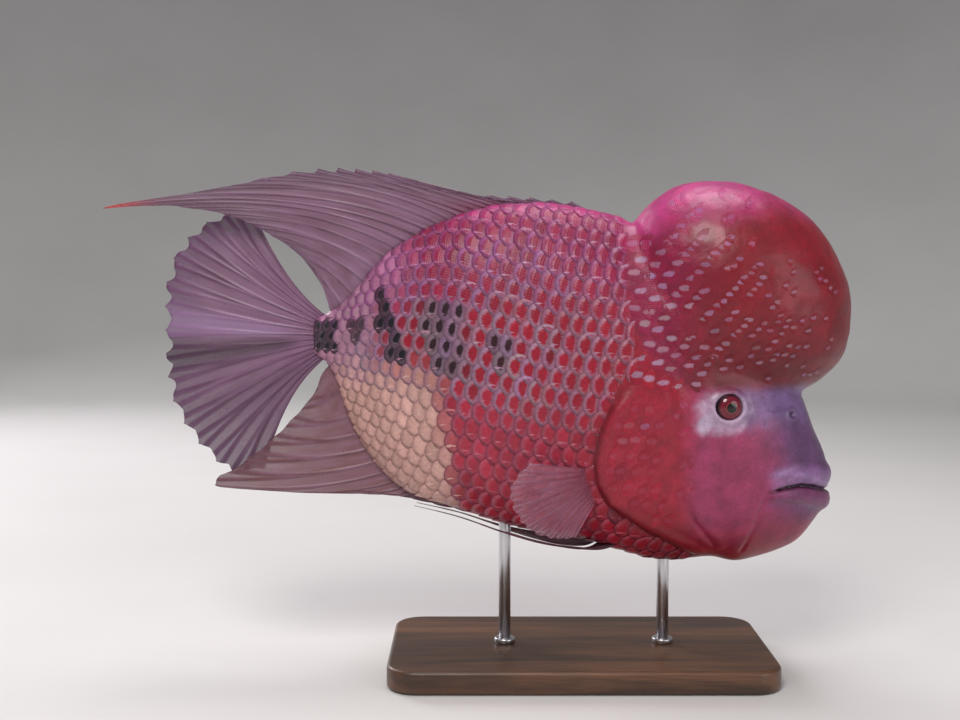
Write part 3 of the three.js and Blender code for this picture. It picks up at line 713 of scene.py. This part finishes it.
def skinMove(vert):
    x, y, z = tablePlace(vert)
    reach = humpReach(x, z)
    rise = faceRelief(x, y, z) if x > -4 and reach > 0.8 else 0.0
    if reach < 1.05:
        rise += 0.5 * wobble(x, y, z, 15, 5.0) + 0.2 * wobble(x, y, z, 5, 9.0) - 0.25
    move = vert.normal * rise * mm
    # the hump grows softly out of the nape, and folds only above the eye
    if reach < 1 and abs(y) > 8 and z > 112:
        bulge = hump["halfWidth"] * math.sqrt(1 - reach ** 2.17)
        soft = 10 - 8.5 * smoothStep(40, 60, x)
        near = max(0.0, 1 - abs(bulge - flankAt(x, z)) / soft) * (1 - smoothStep(148, 168, z))
        move.y += math.copysign(0.25 * soft * near * near * smoothStep(8, 14, abs(y)), y) * mm
    return move


def makeSkin():
    bm = bmesh.new()
    bodyShell(bm)
    humpShell(bm)
    lipShell(bm, face["upperLip"])
    lipShell(bm, face["lowerLip"])
    bmesh.ops.recalc_face_normals(bm, faces=bm.faces[:])
    bm = oneSurface(bm)
    for _ in range(body["smoothing"]):
        smoothed(bm, bm.verts[:])
    chosen = [e for e in bm.edges if inFace(e.verts[0]) and inFace(e.verts[1])]
    bmesh.ops.subdivide_edges(bm, edges=chosen, cuts=1, use_grid_fill=True, smooth=0.0)
    bmesh.ops.triangulate(bm, faces=[f for f in bm.faces if len(f.verts) > 4])
    bm.normal_update()
    for _ in range(body["napeSmoothing"]):
        smoothed(bm, [v for v in bm.verts if onNape(v)])
    bm.normal_update()
    moves = [skinMove(vert) for vert in bm.verts]
    for vert, move in zip(bm.verts, moves):
        vert.co += move
    smoothed(bm, bm.verts[:], 0.25)
    tintLayer = bm.verts.layers.float_color.new("tint")
    for vert in bm.verts:
        x, y, z = tablePlace(vert)
        vert[tintLayer] = (*mixed(zoneTint(x, y, z), tints["black"], markDarkness(x, z)), 1.0)
    print("skin triangles", triangleCount(bm))
    tree = BVHTree.FromBMesh(bm)
    pieceFrom(bm, "skin", skinMaterial(), (
        "head", "lower_jaw", "forehead_hump", "torso", "tail_stalk", "gill_cover_right", "gill_cover_left"))
    return tree


scales = {
    "pitch": 5.3,           # from scale to scale along a row at the middle, mm
    "tailPitch": 3.4,
    "rowSpace": 7.3,        # from row to row
    "tailRowSpace": 4.2,
    "overlap": 2.0,         # a scale's length for each pitch
    "tall": 1.5,            # and its height for each row
    "lean": 0.22,           # how far its upper end leans towards the head
    "thickness": 0.2,
    "rootDepth": 0.8,       # under the solids' surface at the buried end
    "edgeLift": 0.06,       # over it at the free end
    "curl": 0.12,           # how far its sides drop
    "lateral": [[-106.4, 140], [-82, 140], [-55, 137], [-32, 131], [-10, 125], [24, 120]],
    "columns": 3,
    "rows": 5,
}
lateralAt = smoothTable(scales["lateral"])
arcStart, arcStep, arcCount, arcPoints = -107.0, 1.5, 110, 60


def arcTable(x):
    # arc lengths down one side of the section, counted from the lateral line
    points = [sectionPoint(x, math.pi * i / arcPoints) for i in range(arcPoints + 1)]
    lengths = [0.0]
    for a, b in zip(points, points[1:]):
        lengths.append(lengths[-1] + math.dist(a, b))
    level = lateralAt(x)[1]
    zero = next(i for i, p in enumerate(points) if p[2] <= level)
    share = (points[zero - 1][2] - level) / max(1e-6, points[zero - 1][2] - points[zero][2])
    middle = lengths[zero - 1] + share * (lengths[zero] - lengths[zero - 1])
    return [middle - s for s in lengths]


arcs = [arcTable(arcStart + arcStep * i) for i in range(arcCount)]


def arcAngle(table, arc):
    low, high = 0, arcPoints
    while high - low > 1:
        middle = (low + high) // 2
        if table[middle] > arc:
            low = middle
        else:
            high = middle
    share = clamp((table[low] - arc) / max(1e-6, table[low] - table[high]))
    return math.pi * (low + share) / arcPoints


def flankPoint(side, x, arc):
    # the place on the body's side at a distance along it and round it
    place = clamp((x - arcStart) / arcStep, 0, len(arcs) - 1.001)
    i = int(place)
    first, second = arcAngle(arcs[i], arc), arcAngle(arcs[i + 1], arc)
    point = sectionPoint(x, first + (second - first) * (place - i))
    return [point[0], side * point[1], point[2]]


def stackOfPlates(count):
    # one thin plate, copied onto itself until there are enough; each corner keeps its plate's number
    bm = bmesh.new()
    floats, colors, maps = bm.verts.layers.float, bm.verts.layers.float_color, bm.loops.layers.uv
    back, across, upper = floats.new("back"), floats.new("across"), floats.new("upper")
    number = bm.verts.layers.int.new("number")
    layers = [back, across, upper, number, colors.new("tint"), colors.new("rim")]
    layers += [maps.new("plateMap"), maps.new("OFBake")]
    bmesh.ops.create_grid(bm, x_segments=scales["columns"], y_segments=scales["rows"], size=0.5)
    grown = bmesh.ops.extrude_face_region(bm, geom=bm.faces[:], use_keep_orig=True)
    top = {g for g in grown["geom"] if isinstance(g, bmesh.types.BMVert)}
    for v in bm.verts:
        v[back], v[across], v[upper] = clamp(v.co.x + 0.5), 2 * v.co.y, float(v in top)
    made = 1
    while made < count:
        copies = bmesh.ops.duplicate(bm, geom=bm.verts[:] + bm.edges[:] + bm.faces[:])
        for item in copies["geom"]:
            if isinstance(item, bmesh.types.BMVert):
                item[number] += made
        made *= 2
    bmesh.ops.delete(bm, geom=[v for v in bm.verts if v[number] >= count], context="VERTS")
    return bm, layers


def coatOf(plates, placer, name, material, side, crisp=False):
    bm, layers = stackOfPlates(len(plates))
    backOf, acrossOf, upperOf, number, tint, rim, plateMap, bakeMap = layers
    for v in bm.verts:
        plate = plates[v[number]]
        back, across = v[backOf] ** 0.8, v[acrossOf]
        rounding = 0.6 + 0.4 * math.sqrt(1 - (0.96 * across) ** 2)
        behind = plate["length"] * (back * rounding - 0.5)
        wide = plate["half"] * across * (0.7 + 0.3 * math.sin(math.pi * clamp(0.1 + 0.6 * back)))
        rise = -scales["rootDepth"] + (scales["rootDepth"] + scales["edgeLift"] + plate["extra"]) * back
        under = 0 if v[upperOf] > 0.5 else scales["thickness"]
        v.co = placer(plate, behind, wide, rise - scales["curl"] * across * across - under)
        v[tint] = (*plate["tint"], plate["dark"])
        v[rim] = (*plate["rimTint"], plate["rimStrength"])
    for f in bm.faces:
        for loop in f.loops:
            v = loop.vert
            u, w = plates[v[number]]["bakePlace"]
            loop[plateMap].uv = (v[acrossOf], v[backOf] ** 0.8)
            loop[bakeMap].uv = (u + 0.0015 * v[acrossOf], w + 0.003 * (v[backOf] - 0.5))
    if side < 0:
        bmesh.ops.reverse_faces(bm, faces=bm.faces[:])
    if crisp:
        # a flat scale with a crisp edge, not a rounded button
        bm.normal_update()
        for e in bm.edges:
            e.smooth = e.calc_face_angle(0) < 0.8
    name += "_left" if side > 0 else "_right"
    print(name, len(plates), "scales", triangleCount(bm), "triangles")
    pieceFrom(bm, name, material)


def plateColors(plate, point, draw):
    x, y, z = point
    _, top, bottom, _, _ = bodyAt(x)
    height = (z - bottom) / max(1.0, top - bottom)
    shade = draw.uniform(0.88, 1.12)
    dark = markDarkness(x, z, draw.random())
    plate["dark"] = dark
    plate["tint"] = mixed([clamp(c * shade) for c in zoneTint(x, y, z)], tints["black"], dark)
    cream = (1 - smoothStep(-60, -48, x)) * (1 - smoothStep(116, 132, z))
    strength = 0.25 + 0.65 * smoothStep(0.28, 0.46, height) * (1 - 0.55 * smoothStep(0.84, 0.96, height))
    strength *= 1 - 0.4 * smoothStep(-30, 20, x)
    strength = max(strength, 0.8 * dark) * (1 - 0.8 * cream) * draw.uniform(0.7, 1.15)
    pale = mixed(tints["rim"], tints["backRim"], smoothStep(0.62, 0.9, height))
    blackened = (0.7 if x < -70 else 0.25) * dark
    plate["rimTint"] = mixed([clamp(c * draw.uniform(0.9, 1.1)) for c in pale], tints["black"], blackened)
    plate["rimStrength"] = clamp(strength)


def flankScales(side, tree, material):
    draw = random.Random(7)
    plates = []
    x, column = -104.6, 0
    while x < 47:
        near = smoothStep(-104, -45, x)
        pitch = scales["tailPitch"] + (scales["pitch"] - scales["tailPitch"]) * near
        space = scales["tailRowSpace"] + (scales["rowSpace"] - scales["tailRowSpace"]) * near
        table = arcs[int(clamp((x - arcStart) / arcStep, 0, len(arcs) - 1))]
        for row in range(-14, 14):
            arc = (2 * row + column % 2) * space + draw.uniform(-0.25, 0.25)
            if arc > table[0] - 0.4 * space or arc < table[-1] + 0.3 * space:
                continue
            middle = flankPoint(side, x, arc)
            if signedTo(face["gillSeam"], middle[0], middle[2]) > -0.4:
                continue
            plate = {
                "x": x + draw.uniform(-0.2, 0.2), "arc": arc, "tilt": 0.08 + draw.uniform(-0.04, 0.04),
                "length": pitch * scales["overlap"] * draw.uniform(0.97, 1.05),
                "half": 0.5 * space * scales["tall"] * draw.uniform(0.96, 1.04),
                "extra": draw.uniform(-0.03, 0.05), "bakePlace": ((x + 110) / 220, clamp(0.5 - arc / 200)),
            }
            plateColors(plate, flankPoint(side, x - 0.25 * plate["length"], arc), draw)
            plates.append(plate)
        x += pitch / 2
        column += 1

    def placer(plate, behind, wide, lift):
        x = max(-106.2, plate["x"] - behind + scales["lean"] * wide)
        point = flankPoint(side, x, plate["arc"] + wide + plate["tilt"] * behind)
        near, normal, _, _ = tree.find_nearest(modelPoint(point))
        ahead = signedTo(face["gillSeam"], point[0], point[2])
        upper = smoothStep(116, 124, point[2])
        under = 3.2 * smoothStep(-1.8, -0.4, ahead) * (1 - upper) + 0.9 * smoothStep(-5, 1, ahead) * upper
        return near + normal * (body["coat"] + lift - under) * mm

    coatOf(plates, placer, "flank_scales", material, side)


headScales = {
    "from": 5.0, "to": 98.0, "low": 64.0, "high": 197.0,
    "cheekEnd": 41.0,       # the face ahead of this is bare below the hump
    "shrink": 0.42,         # how much smaller they are at the front than at the nape
    "keep": 0.3,            # share of them that still shows at the front
}


def napeScales(side, tree, material):
    draw = random.Random(11)
    plates = []

    def touch(x, z):
        hit = tree.ray_cast(modelPoint((x, side * 70, z)), Vector((0, -side, 0)))
        return hit if hit[0] else None

    x, column = headScales["from"], 0
    while x < headScales["to"]:
        far = smoothStep(20, 80, x)
        size = 1 - headScales["shrink"] * far
        pitch, space = scales["pitch"] * size, scales["rowSpace"] * size * 0.86
        z = headScales["low"] + (column % 2) * space
        while z < headScales["high"]:
            jitter, shift = draw.uniform(-0.8, 0.8), draw.uniform(-0.7, 0.7)
            hit = touch(x + shift, z + jitter)
            crown = smoothStep(0.3, 0.9, (z - hump["centre"][1]) / 40 + 0.3 * (x - 62) / 40)
            chance = 1 - (1 - headScales["keep"]) * smoothStep(26, 92, x) - 0.5 * crown * far
            ahead, ridge = signedTo(face["gillSeam"], x, z), signedTo(face["cheekRidge"], x, z)
            onHump = humpReach(x, z) < 0.97 or x < 44
            onNape = z > 121 + 3.0 * smoothStep(40, 50, x) and onHump and (z < 178 or x > 36) and ahead > -0.6
            onCheek = z < 120 and x < headScales["cheekEnd"] and ahead > 4.5 and abs(ridge + 1) > 3.5
            onSide = hit is not None and abs(hit[1].y) > 0.42 and side * hit[0].y > 0.004
            if onSide and (onCheek or onNape) and draw.random() < chance:
                place = hit[0] / mm
                color = zoneTint(place.x, place.y, place.z + floorLevel)
                plate = {
                    "x": x + shift, "z": z + jitter, "length": pitch * draw.uniform(1.55, 1.9),
                    "half": 0.5 * space * draw.uniform(1.0, 1.3), "tilt": draw.uniform(-0.12, 0.14),
                    "extra": draw.uniform(-0.05, 0.02) - 0.04 * far,
                    "bakePlace": ((x + 110) / 220, clamp((z - 40) / 180)),
                    "tint": [clamp(c * draw.uniform(0.9, 1.1)) for c in color], "dark": 0.0,
                }
                pale = mixed(tints["rim"], tints["backRim"], smoothStep(150, 190, z))
                plate["rimTint"] = [clamp(c * draw.uniform(0.85, 1.15)) for c in pale]
                plate["rimStrength"] = clamp(draw.uniform(0.5, 1.0) * (1 - 0.4 * far) * (1 - 0.5 * crown))
                if onCheek:
                    plate["rimStrength"] = 0.08 + 0.45 * smoothStep(88, 118, z) * draw.random() ** 2
                    plate["length"] *= 0.85
                plates.append(plate)
            z += 2 * space
        x += pitch / 2
        column += 1

    def placer(plate, behind, wide, lift):
        x = plate["x"] - behind + scales["lean"] * wide
        z = plate["z"] + wide + plate["tilt"] * behind
        hit = touch(x, z) or tree.find_nearest(modelPoint((x, side * 20, z)))
        return hit[0] + hit[1] * (0.1 + 0.24 * lift) * mm

    coatOf(plates, placer, "nape_scales", material, side, crisp=True)


def bentRay(root, bend, tip, t):
    s = 1 - t
    return [s * s * a + 2 * s * t * b + t * t * c for a, b, c in zip(root, bend, tip)]


def tailSwing(x, amount, start):
    return amount * max(0.0, (start - x) / 60) ** 1.15


dorsalTips = curveThrough([
    (-4, 0, 193.2), (-18, 0, 194.6), (-32, 0, 195.4), (-46, 0, 196.2), (-58, 0, 198.2), (-68, 0, 201.4),
    (-77, 0, 204.4), (-88, 0, 205.8), (-100, 0, 206.2), (-116, 0, 204.4), (-140, 0, 198.8), (-188, 0, 190.2),
    (-164, 0, 191.0), (-141, 0, 187.6), (-125, 0, 180.8), (-112, 0, 172.0), (-103, 0, 160.0)])


def dorsalPlace(ray, t, gap):
    spiny = 1 - smoothStep(0.5, 0.62, ray)
    rootX = 14 - 113 * ray ** 1.12
    root = [rootX, 0, bodyAt(rootX)[1] - 4]
    tip = dorsalTips(ray)
    tip[2] -= 1.5 * spiny * gap
    tip[0] += 1.2 * spiny * gap
    reach = math.hypot(tip[0] - root[0], tip[2] - root[2])
    bend = mixed(root, tip, 0.4)
    bend[2] += (0.02 + 0.13 * (1 - spiny)) * reach
    at = bentRay(root, bend, tip, t)
    at[1] = -tailSwing(at[0], 5, -100) + 0.9 * math.sin(at[0] / 9) * t * (1 - spiny)
    return at


analTips = curveThrough([
    (-50, 0, 70.0), (-62, 0, 72.6), (-74, 0, 75.4), (-88, 0, 76.8), (-104, 0, 77.0), (-122, 0, 77.4),
    (-147, 0, 80.4), (-134, 0, 90.0), (-122, 0, 100.0), (-112, 0, 110.0), (-105, 0, 118.0)])


def analPlace(ray, t, gap):
    spiny = 1 - smoothStep(0.3, 0.45, ray)
    rootX = -38 - 61 * ray ** 0.85
    root = [rootX, 0, bodyAt(rootX)[2] + 3.5]
    tip = analTips(ray)
    tip[2] += 0.8 * spiny * gap
    reach = math.hypot(tip[0] - root[0], tip[2] - root[2])
    low = min(root[2] - 1, max(root[2] - 0.26 * reach, tip[2] - 3))
    at = bentRay(root, [root[0] - 0.42 * reach, 0, low], tip, t)
    at[1] = -tailSwing(at[0], 5.5, -102) + 0.7 * math.sin(at[0] / 8) * t * (1 - spiny)
    return at


caudalLengths = smoothTable([[115, 50], [128, 61], [148, 64.5], [180, 60], [212, 64.5], [238, 65], [250, 58]])


def caudalPlace(ray, t, gap):
    degrees = 115 + 135 * ray
    angle = math.radians(degrees)
    root = [tailEnd + 5, 0, 139.4 + 8.4 * (1 - 2 * ray)]
    reach = caudalLengths(degrees)[1]
    tip = [-107 + reach * math.cos(angle), 0, 139.6 + reach * math.sin(angle)]
    at = bentRay(root, [root[0] - 0.3 * reach, 0, root[2] + 0.24 * reach * math.sin(angle)], tip, t)
    at[1] = tailSwing(at[0], 7, -107) + 1.1 * math.sin(ray * 11) * t * t
    return at


pectoralReach = smoothTable([[0, 29], [0.25, 38], [0.5, 35], [0.8, 25], [1, 18]])
pectoralSpread = 0.46


def pectoralPlace(side):
    def place(ray, t, gap):
        rootZ, rootX = 90 - 11 * ray, 1 + 2 * ray
        root = [rootX + 3, side * (flankAt(rootX, rootZ) - 3.5), rootZ]
        reach = pectoralReach(ray)[1]
        dip = -0.16 + 1.12 * ray
        back = reach * math.cos(dip) * math.cos(pectoralSpread)
        out = reach * math.cos(0.5 * dip) * math.sin(pectoralSpread)
        tip = [root[0] - back, root[1] + side * (out + 2), root[2] - reach * math.sin(dip)]
        bend = [root[0] - 0.45 * back, root[1] + side * (0.62 * out + 2), root[2] - 0.4 * reach * math.sin(dip)]
        return bentRay(root, bend, tip, t)
    return place


def pelvicPlace(side, drop):
    leading = curveThrough([
        (17, side * 8, 58.6), (8, side * 11, 56), (-5, side * 12.6, 57 - drop * 0.3),
        (-18, side * 13, 59.2 - drop * 0.6), (-33, side * 12.4, 63.6 - drop), (-49, side * 11, 69 - drop),
        (-66, side * 10, 73 - drop)])
    trailing = curveThrough([
        (10, side * 2.6, 58.6), (3, side * 3.6, 54.6), (-8, side * 4.8, 55.6 - drop * 0.4),
        (-19, side * 6, 58.4 - drop * 0.6), (-30, side * 7, 62 - drop * 0.8)])

    def place(ray, t, gap):
        return mixed(leading(t * (1 - 0.5 * ray ** 0.5)), trailing(t), ray ** 1.1)
    return place


fins = {
    "dorsal_fin": {"rays": 28, "steps": 52, "columns": 9, "web": 0.7, "rib": 1.5, "edge": 0.36, "normal": (0, 1, 0),
                   "place": dorsalPlace, "fringe": 0.02},
    "anal_fin": {"rays": 15, "steps": 48, "columns": 12, "web": 0.7, "rib": 1.5, "edge": 0.36, "normal": (0, 1, 0),
                 "place": analPlace, "fringe": 0.02},
    "caudal_fin": {"rays": 16, "steps": 60, "columns": 14, "web": 0.7, "rib": 1.6, "edge": 0.36, "normal": (0, 1, 0),
                   "place": caudalPlace, "fringe": 0.03},
}
for sideName, side, drop in (("right", -1, 0.0), ("left", 1, 2.5)):
    fins["pectoral_fin_" + sideName] = {
        "rays": 12, "steps": 40, "columns": 9, "web": 0.45, "rib": 1.0, "edge": 0.3, "fringe": 0.03,
        "normal": (side * math.sin(pectoralSpread), math.cos(pectoralSpread), 0), "place": pectoralPlace(side)}
    fins["pelvic_fin_" + sideName] = {
        "rays": 6, "steps": 60, "columns": 9, "web": 0.5, "rib": 1.2, "edge": 0.36, "fringe": 0.0,
        "normal": (0.1, side * 0.35, 0.93), "place": pelvicPlace(side, drop)}


finColors = {
    # membrane, rays, tips, and how solid the membrane is
    "dorsal": (rgb(122, 84, 106), rgb(88, 52, 74), rgb(104, 64, 94), 0.58),
    "caudal": (rgb(128, 86, 116), rgb(92, 54, 82), rgb(108, 68, 104), 0.56),
    "anal": (rgb(132, 90, 96), rgb(94, 54, 62), rgb(104, 64, 80), 0.58),
    "pectoral": (rgb(160, 92, 112), rgb(128, 48, 74), rgb(168, 116, 134), 0.26),
    "pelvic": (rgb(112, 54, 70), rgb(72, 26, 42), rgb(150, 60, 66), 0.6),
}


def finTint(name, point, ray, t):
    # colour painted over the fin's own streaks, with its strength as the fourth value
    x, _, z = point
    if name == "dorsal_fin":
        red = bell(math.hypot(x + 186, z - 190), 13)
        rootGlow = 0.55 * (1 - smoothStep(0.05, 0.45, t)) * (1 - smoothStep(0.45, 0.6, ray))
        if red > rootGlow:
            return (*rgb(206, 62, 54), 0.9 * red)
        return (*rgb(132, 26, 66), rootGlow)
    if name == "caudal_fin":
        dark = bell(ray - 0.55, 0.05) * smoothStep(0.15, 0.4, t)
        pale = 0.6 * bell(ray - 0.44, 0.05) * smoothStep(0.2, 0.5, t)
        low = 0.35 * smoothStep(0.6, 0.8, ray)
        if pale > max(dark, low):
            return (*rgb(168, 132, 178), pale)
        return (*rgb(60, 32, 56), max(0.8 * dark, low))
    if name == "anal_fin":
        return (*rgb(108, 56, 62), 0.3)
    if name.startswith("pelvic"):
        return (*rgb(72, 18, 36), 0.35 + 0.5 * (1 - smoothStep(0.0, 0.35, ray)))
    return (*rgb(140, 40, 66), 0.5 * (1 - smoothStep(0.1, 0.6, t)))


def makeFin(name, fin):
    gaps = fin["rays"] - 1
    bm = bmesh.new()
    tintLayer = bm.verts.layers.float_color.new("tint")
    finMap = bm.loops.layers.uv.new("finMap")
    bmesh.ops.create_grid(bm, x_segments=gaps * fin["columns"], y_segments=fin["steps"], size=0.5)
    grown = bmesh.ops.extrude_face_region(bm, geom=bm.faces[:], use_keep_orig=True)
    upper = {g for g in grown["geom"] if isinstance(g, bmesh.types.BMVert)}
    flat = {v: (clamp(v.co.x + 0.5), clamp(v.co.y + 0.5)) for v in bm.verts}
    for v, (across, along) in flat.items():
        phase = across * gaps
        offRay = abs(phase - round(phase))
        fork = forkSpread * max(0.0, along - forkFrom)
        ridge = bell(abs(offRay - fork), 0.13)
        gap = clamp(2 * offRay) ** 0.7
        frayed = fin["fringe"] * (gap + 0.7 * wobble(phase * 2, along, 0, 1.0, 4.0)) * smoothStep(0.85, 1.0, along)
        point = fin["place"](across, clamp(along * (1 - frayed)), gap)
        full = fin["web"] + (fin["rib"] - fin["web"]) * ridge
        taper = (1 - along) ** 0.8
        half = 0.5 * (full * taper + fin["edge"] * (1 - taper) * (0.8 + 0.5 * ridge))
        turn = 1 if v in upper else -1
        v.co = modelPoint([p + turn * half * n for p, n in zip(point, fin["normal"])])
        v[tintLayer] = finTint(name, point, across, along)
    for f in bm.faces:
        for loop in f.loops:
            loop[finMap].uv = flat[loop.vert]
    bmesh.ops.recalc_face_normals(bm, faces=bm.faces[:])
    *colors, solidity = finColors[name.split("_")[0]]
    material = finMaterial(name + "_skin", *colors, fin["rays"], solidity)
    pieceFrom(bm, name + "_membrane", material, (name,))


def makeEye(side, sideName, irisMaterial):
    turn = -side * eye["turn"]
    bm = bmesh.new()
    gaze = bm.verts.layers.float.new("gaze")
    made = bmesh.ops.create_uvsphere(bm, u_segments=64, v_segments=48, radius=1.0)
    for v in made["verts"]:
        x, z, y = v.co
        middle = math.hypot(x, z)
        v[gaze] = middle if y * side > 0 else 1.0
        across = eye["radius"] * x
        deep = eye["radius"] * eye["flatness"] * y * (1 - 0.05 * bell(middle, 0.4))
        v.co = modelPoint((eye["x"] + across * math.cos(turn) - deep * math.sin(turn),
                           side * eye["side"] + across * math.sin(turn) + deep * math.cos(turn),
                           eye["z"] + eye["radius"] * z))
    bmesh.ops.recalc_face_normals(bm, faces=bm.faces[:])
    pieceFrom(bm, "eyeball_" + sideName, irisMaterial, ("eye_" + sideName,))


stand = {
    "halfLength": 76.0, "halfDepth": 40.0, "thickness": 9.0, "corner": 12.0, "edge": 1.6,
    "rodPlaces": {"stand_rod_front": 34.0, "stand_rod_rear": -30.0},
    "rod": 2.4, "rodEdge": 0.2, "collar": 4.2, "collarHeight": 2.2, "collarEdge": 0.5,
    "sink": 0.5,            # how far a rod goes into the base
    "reach": 3.0,           # and into the belly
}


def levelFacesFlat(piece):
    for polygon in piece.data.polygons:
        polygon.use_smooth = abs(polygon.normal.z) < 0.99


def makeBase(material):
    bm = bmesh.new()
    made = bmesh.ops.create_cube(bm, size=1.0)
    for v in made["verts"]:
        v.co = modelPoint((v.co.x * 2 * stand["halfLength"], v.co.y * 2 * stand["halfDepth"],
                           floorLevel + (v.co.z + 0.5) * stand["thickness"]))
    upright = [e for e in bm.edges if abs(e.verts[0].co.z - e.verts[1].co.z) > 0.5 * stand["thickness"] * mm]
    beveled(bm, upright, stand["corner"], 12)
    # the edges where a level face meets the sides
    rims = [e for e in bm.edges if len({abs(f.normal.z) > 0.9 for f in e.link_faces}) == 2]
    beveled(bm, rims, stand["edge"], 4)
    levelFacesFlat(pieceFrom(bm, "walnut_base", material, ("stand_base",)))


def makeRod(nodeName, x, material):
    foot = floorLevel + stand["thickness"]
    bm = bmesh.new()
    for radius, low, high, chamfer in (
            (stand["rod"], foot - stand["sink"], bodyAt(x)[2] + stand["reach"], stand["rodEdge"]),
            (stand["collar"], foot, foot + stand["collarHeight"], stand["collarEdge"])):
        made = bmesh.ops.create_cone(bm, cap_ends=True, segments=56, radius1=radius, radius2=radius, depth=high - low)
        for v in made["verts"]:
            v.co = modelPoint((v.co.x + x, v.co.y, v.co.z + (low + high) / 2))
        level = (high - floorLevel) * mm
        rim = [e for e in bm.edges if all(abs(v.co.z - level) < 1e-7 for v in e.verts) and len(e.link_faces) == 2]
        beveled(bm, rim, chamfer, 3)
    levelFacesFlat(pieceFrom(bm, nodeName + "_steel", material, (nodeName,)))


room = {
    "aim": (-40.0, 0.0, 124.0), "distance": 533.0, "elevation": 4.5, "lens": 50.0,
    "floorHalf": 3.0, "flatTo": 1.1,        # metres: half the floor, and from where it rises into a wall
    # place in metres, size, power, colour
    "lamps": {
        "key": ((-0.25, -0.75, 0.95), 0.5, 8.0, (1.0, 0.96, 0.93)),
        "fill": ((0.75, -0.7, 0.35), 0.7, 2.8, (0.95, 0.96, 1.0)),
        "top": ((0.05, 0.15, 0.95), 0.55, 4.6, (1.0, 0.95, 0.98)),
        "back": ((-0.7, 0.7, 0.55), 0.5, 5.0, (1.0, 0.97, 1.0)),
    },
    "air": (0.78, 0.79, 0.82), "airPower": 0.30,
}


def makeRoom():
    scene = bpy.context.scene
    floorMaterial, tree, shader = newMaterial("paleFloor", roughness=0.7)
    tone = ramp(objectNoise(tree, 6, 3), [(0.3, (0.62, 0.61, 0.60)), (0.7, (0.66, 0.65, 0.64))])
    link(tone, shader.inputs["Base Color"])
    bm = bmesh.new()
    bmesh.ops.create_grid(bm, x_segments=60, y_segments=60, size=room["floorHalf"])
    for v in bm.verts:
        v.co.z = 0.9 * max(0.0, v.co.to_2d().length - room["flatTo"]) ** 1.6 - 0.0002
    objectFrom(bm, "paleFloor", floorMaterial)

    aim = Vector(room["aim"]) * mm
    lift = math.radians(room["elevation"])
    cameraData = bpy.data.cameras.new("view")
    cameraData.lens = room["lens"]
    cameraData.sensor_width = 36.0
    camera = bpy.data.objects.new("view", cameraData)
    camera.location = aim + Vector((0, -math.cos(lift), math.sin(lift))) * room["distance"] * mm
    camera.rotation_euler = (math.radians(90) - lift, 0, 0)
    scene.collection.objects.link(camera)
    scene.camera = camera

    for name, (place, size, power, color) in room["lamps"].items():
        lampData = bpy.data.lights.new(name, "AREA")
        lampData.shape = "DISK"
        lampData.size = size
        lampData.energy = power
        lampData.color = color
        lamp = bpy.data.objects.new(name, lampData)
        lamp.location = place
        lamp.rotation_euler = (aim - Vector(place)).to_track_quat("-Z", "Y").to_euler()
        scene.collection.objects.link(lamp)
    world = bpy.data.worlds.new("softLight")
    world.use_nodes = True
    feed(world.node_tree.nodes["Background"], ((0, room["air"]), (1, room["airPower"])))
    scene.world = world
    scene.view_settings.view_transform = "Standard"


makeRoom()
print("room ready")
tree = makeSkin()
print("skin ready")
flankMaterial = scaleMaterial("flankScales", (0.70, 0.20, 0.82), False)
napeMaterial = scaleMaterial("napeScales", (0.70, 0.32, 0.38), True)
for side in (-1, 1):
    flankScales(side, tree, flankMaterial)
    napeScales(side, tree, napeMaterial)
print("scales ready")
for name, fin in fins.items():
    makeFin(name, fin)
print("fins ready")
iris = eyeMaterial()
makeEye(-1, "right", iris)
makeEye(1, "left", iris)
print("eyes ready")
makeBase(woodMaterial())
steel = steelMaterial()
for nodeName, x in stand["rodPlaces"].items():
    makeRod(nodeName, x, steel)
print("stand ready")
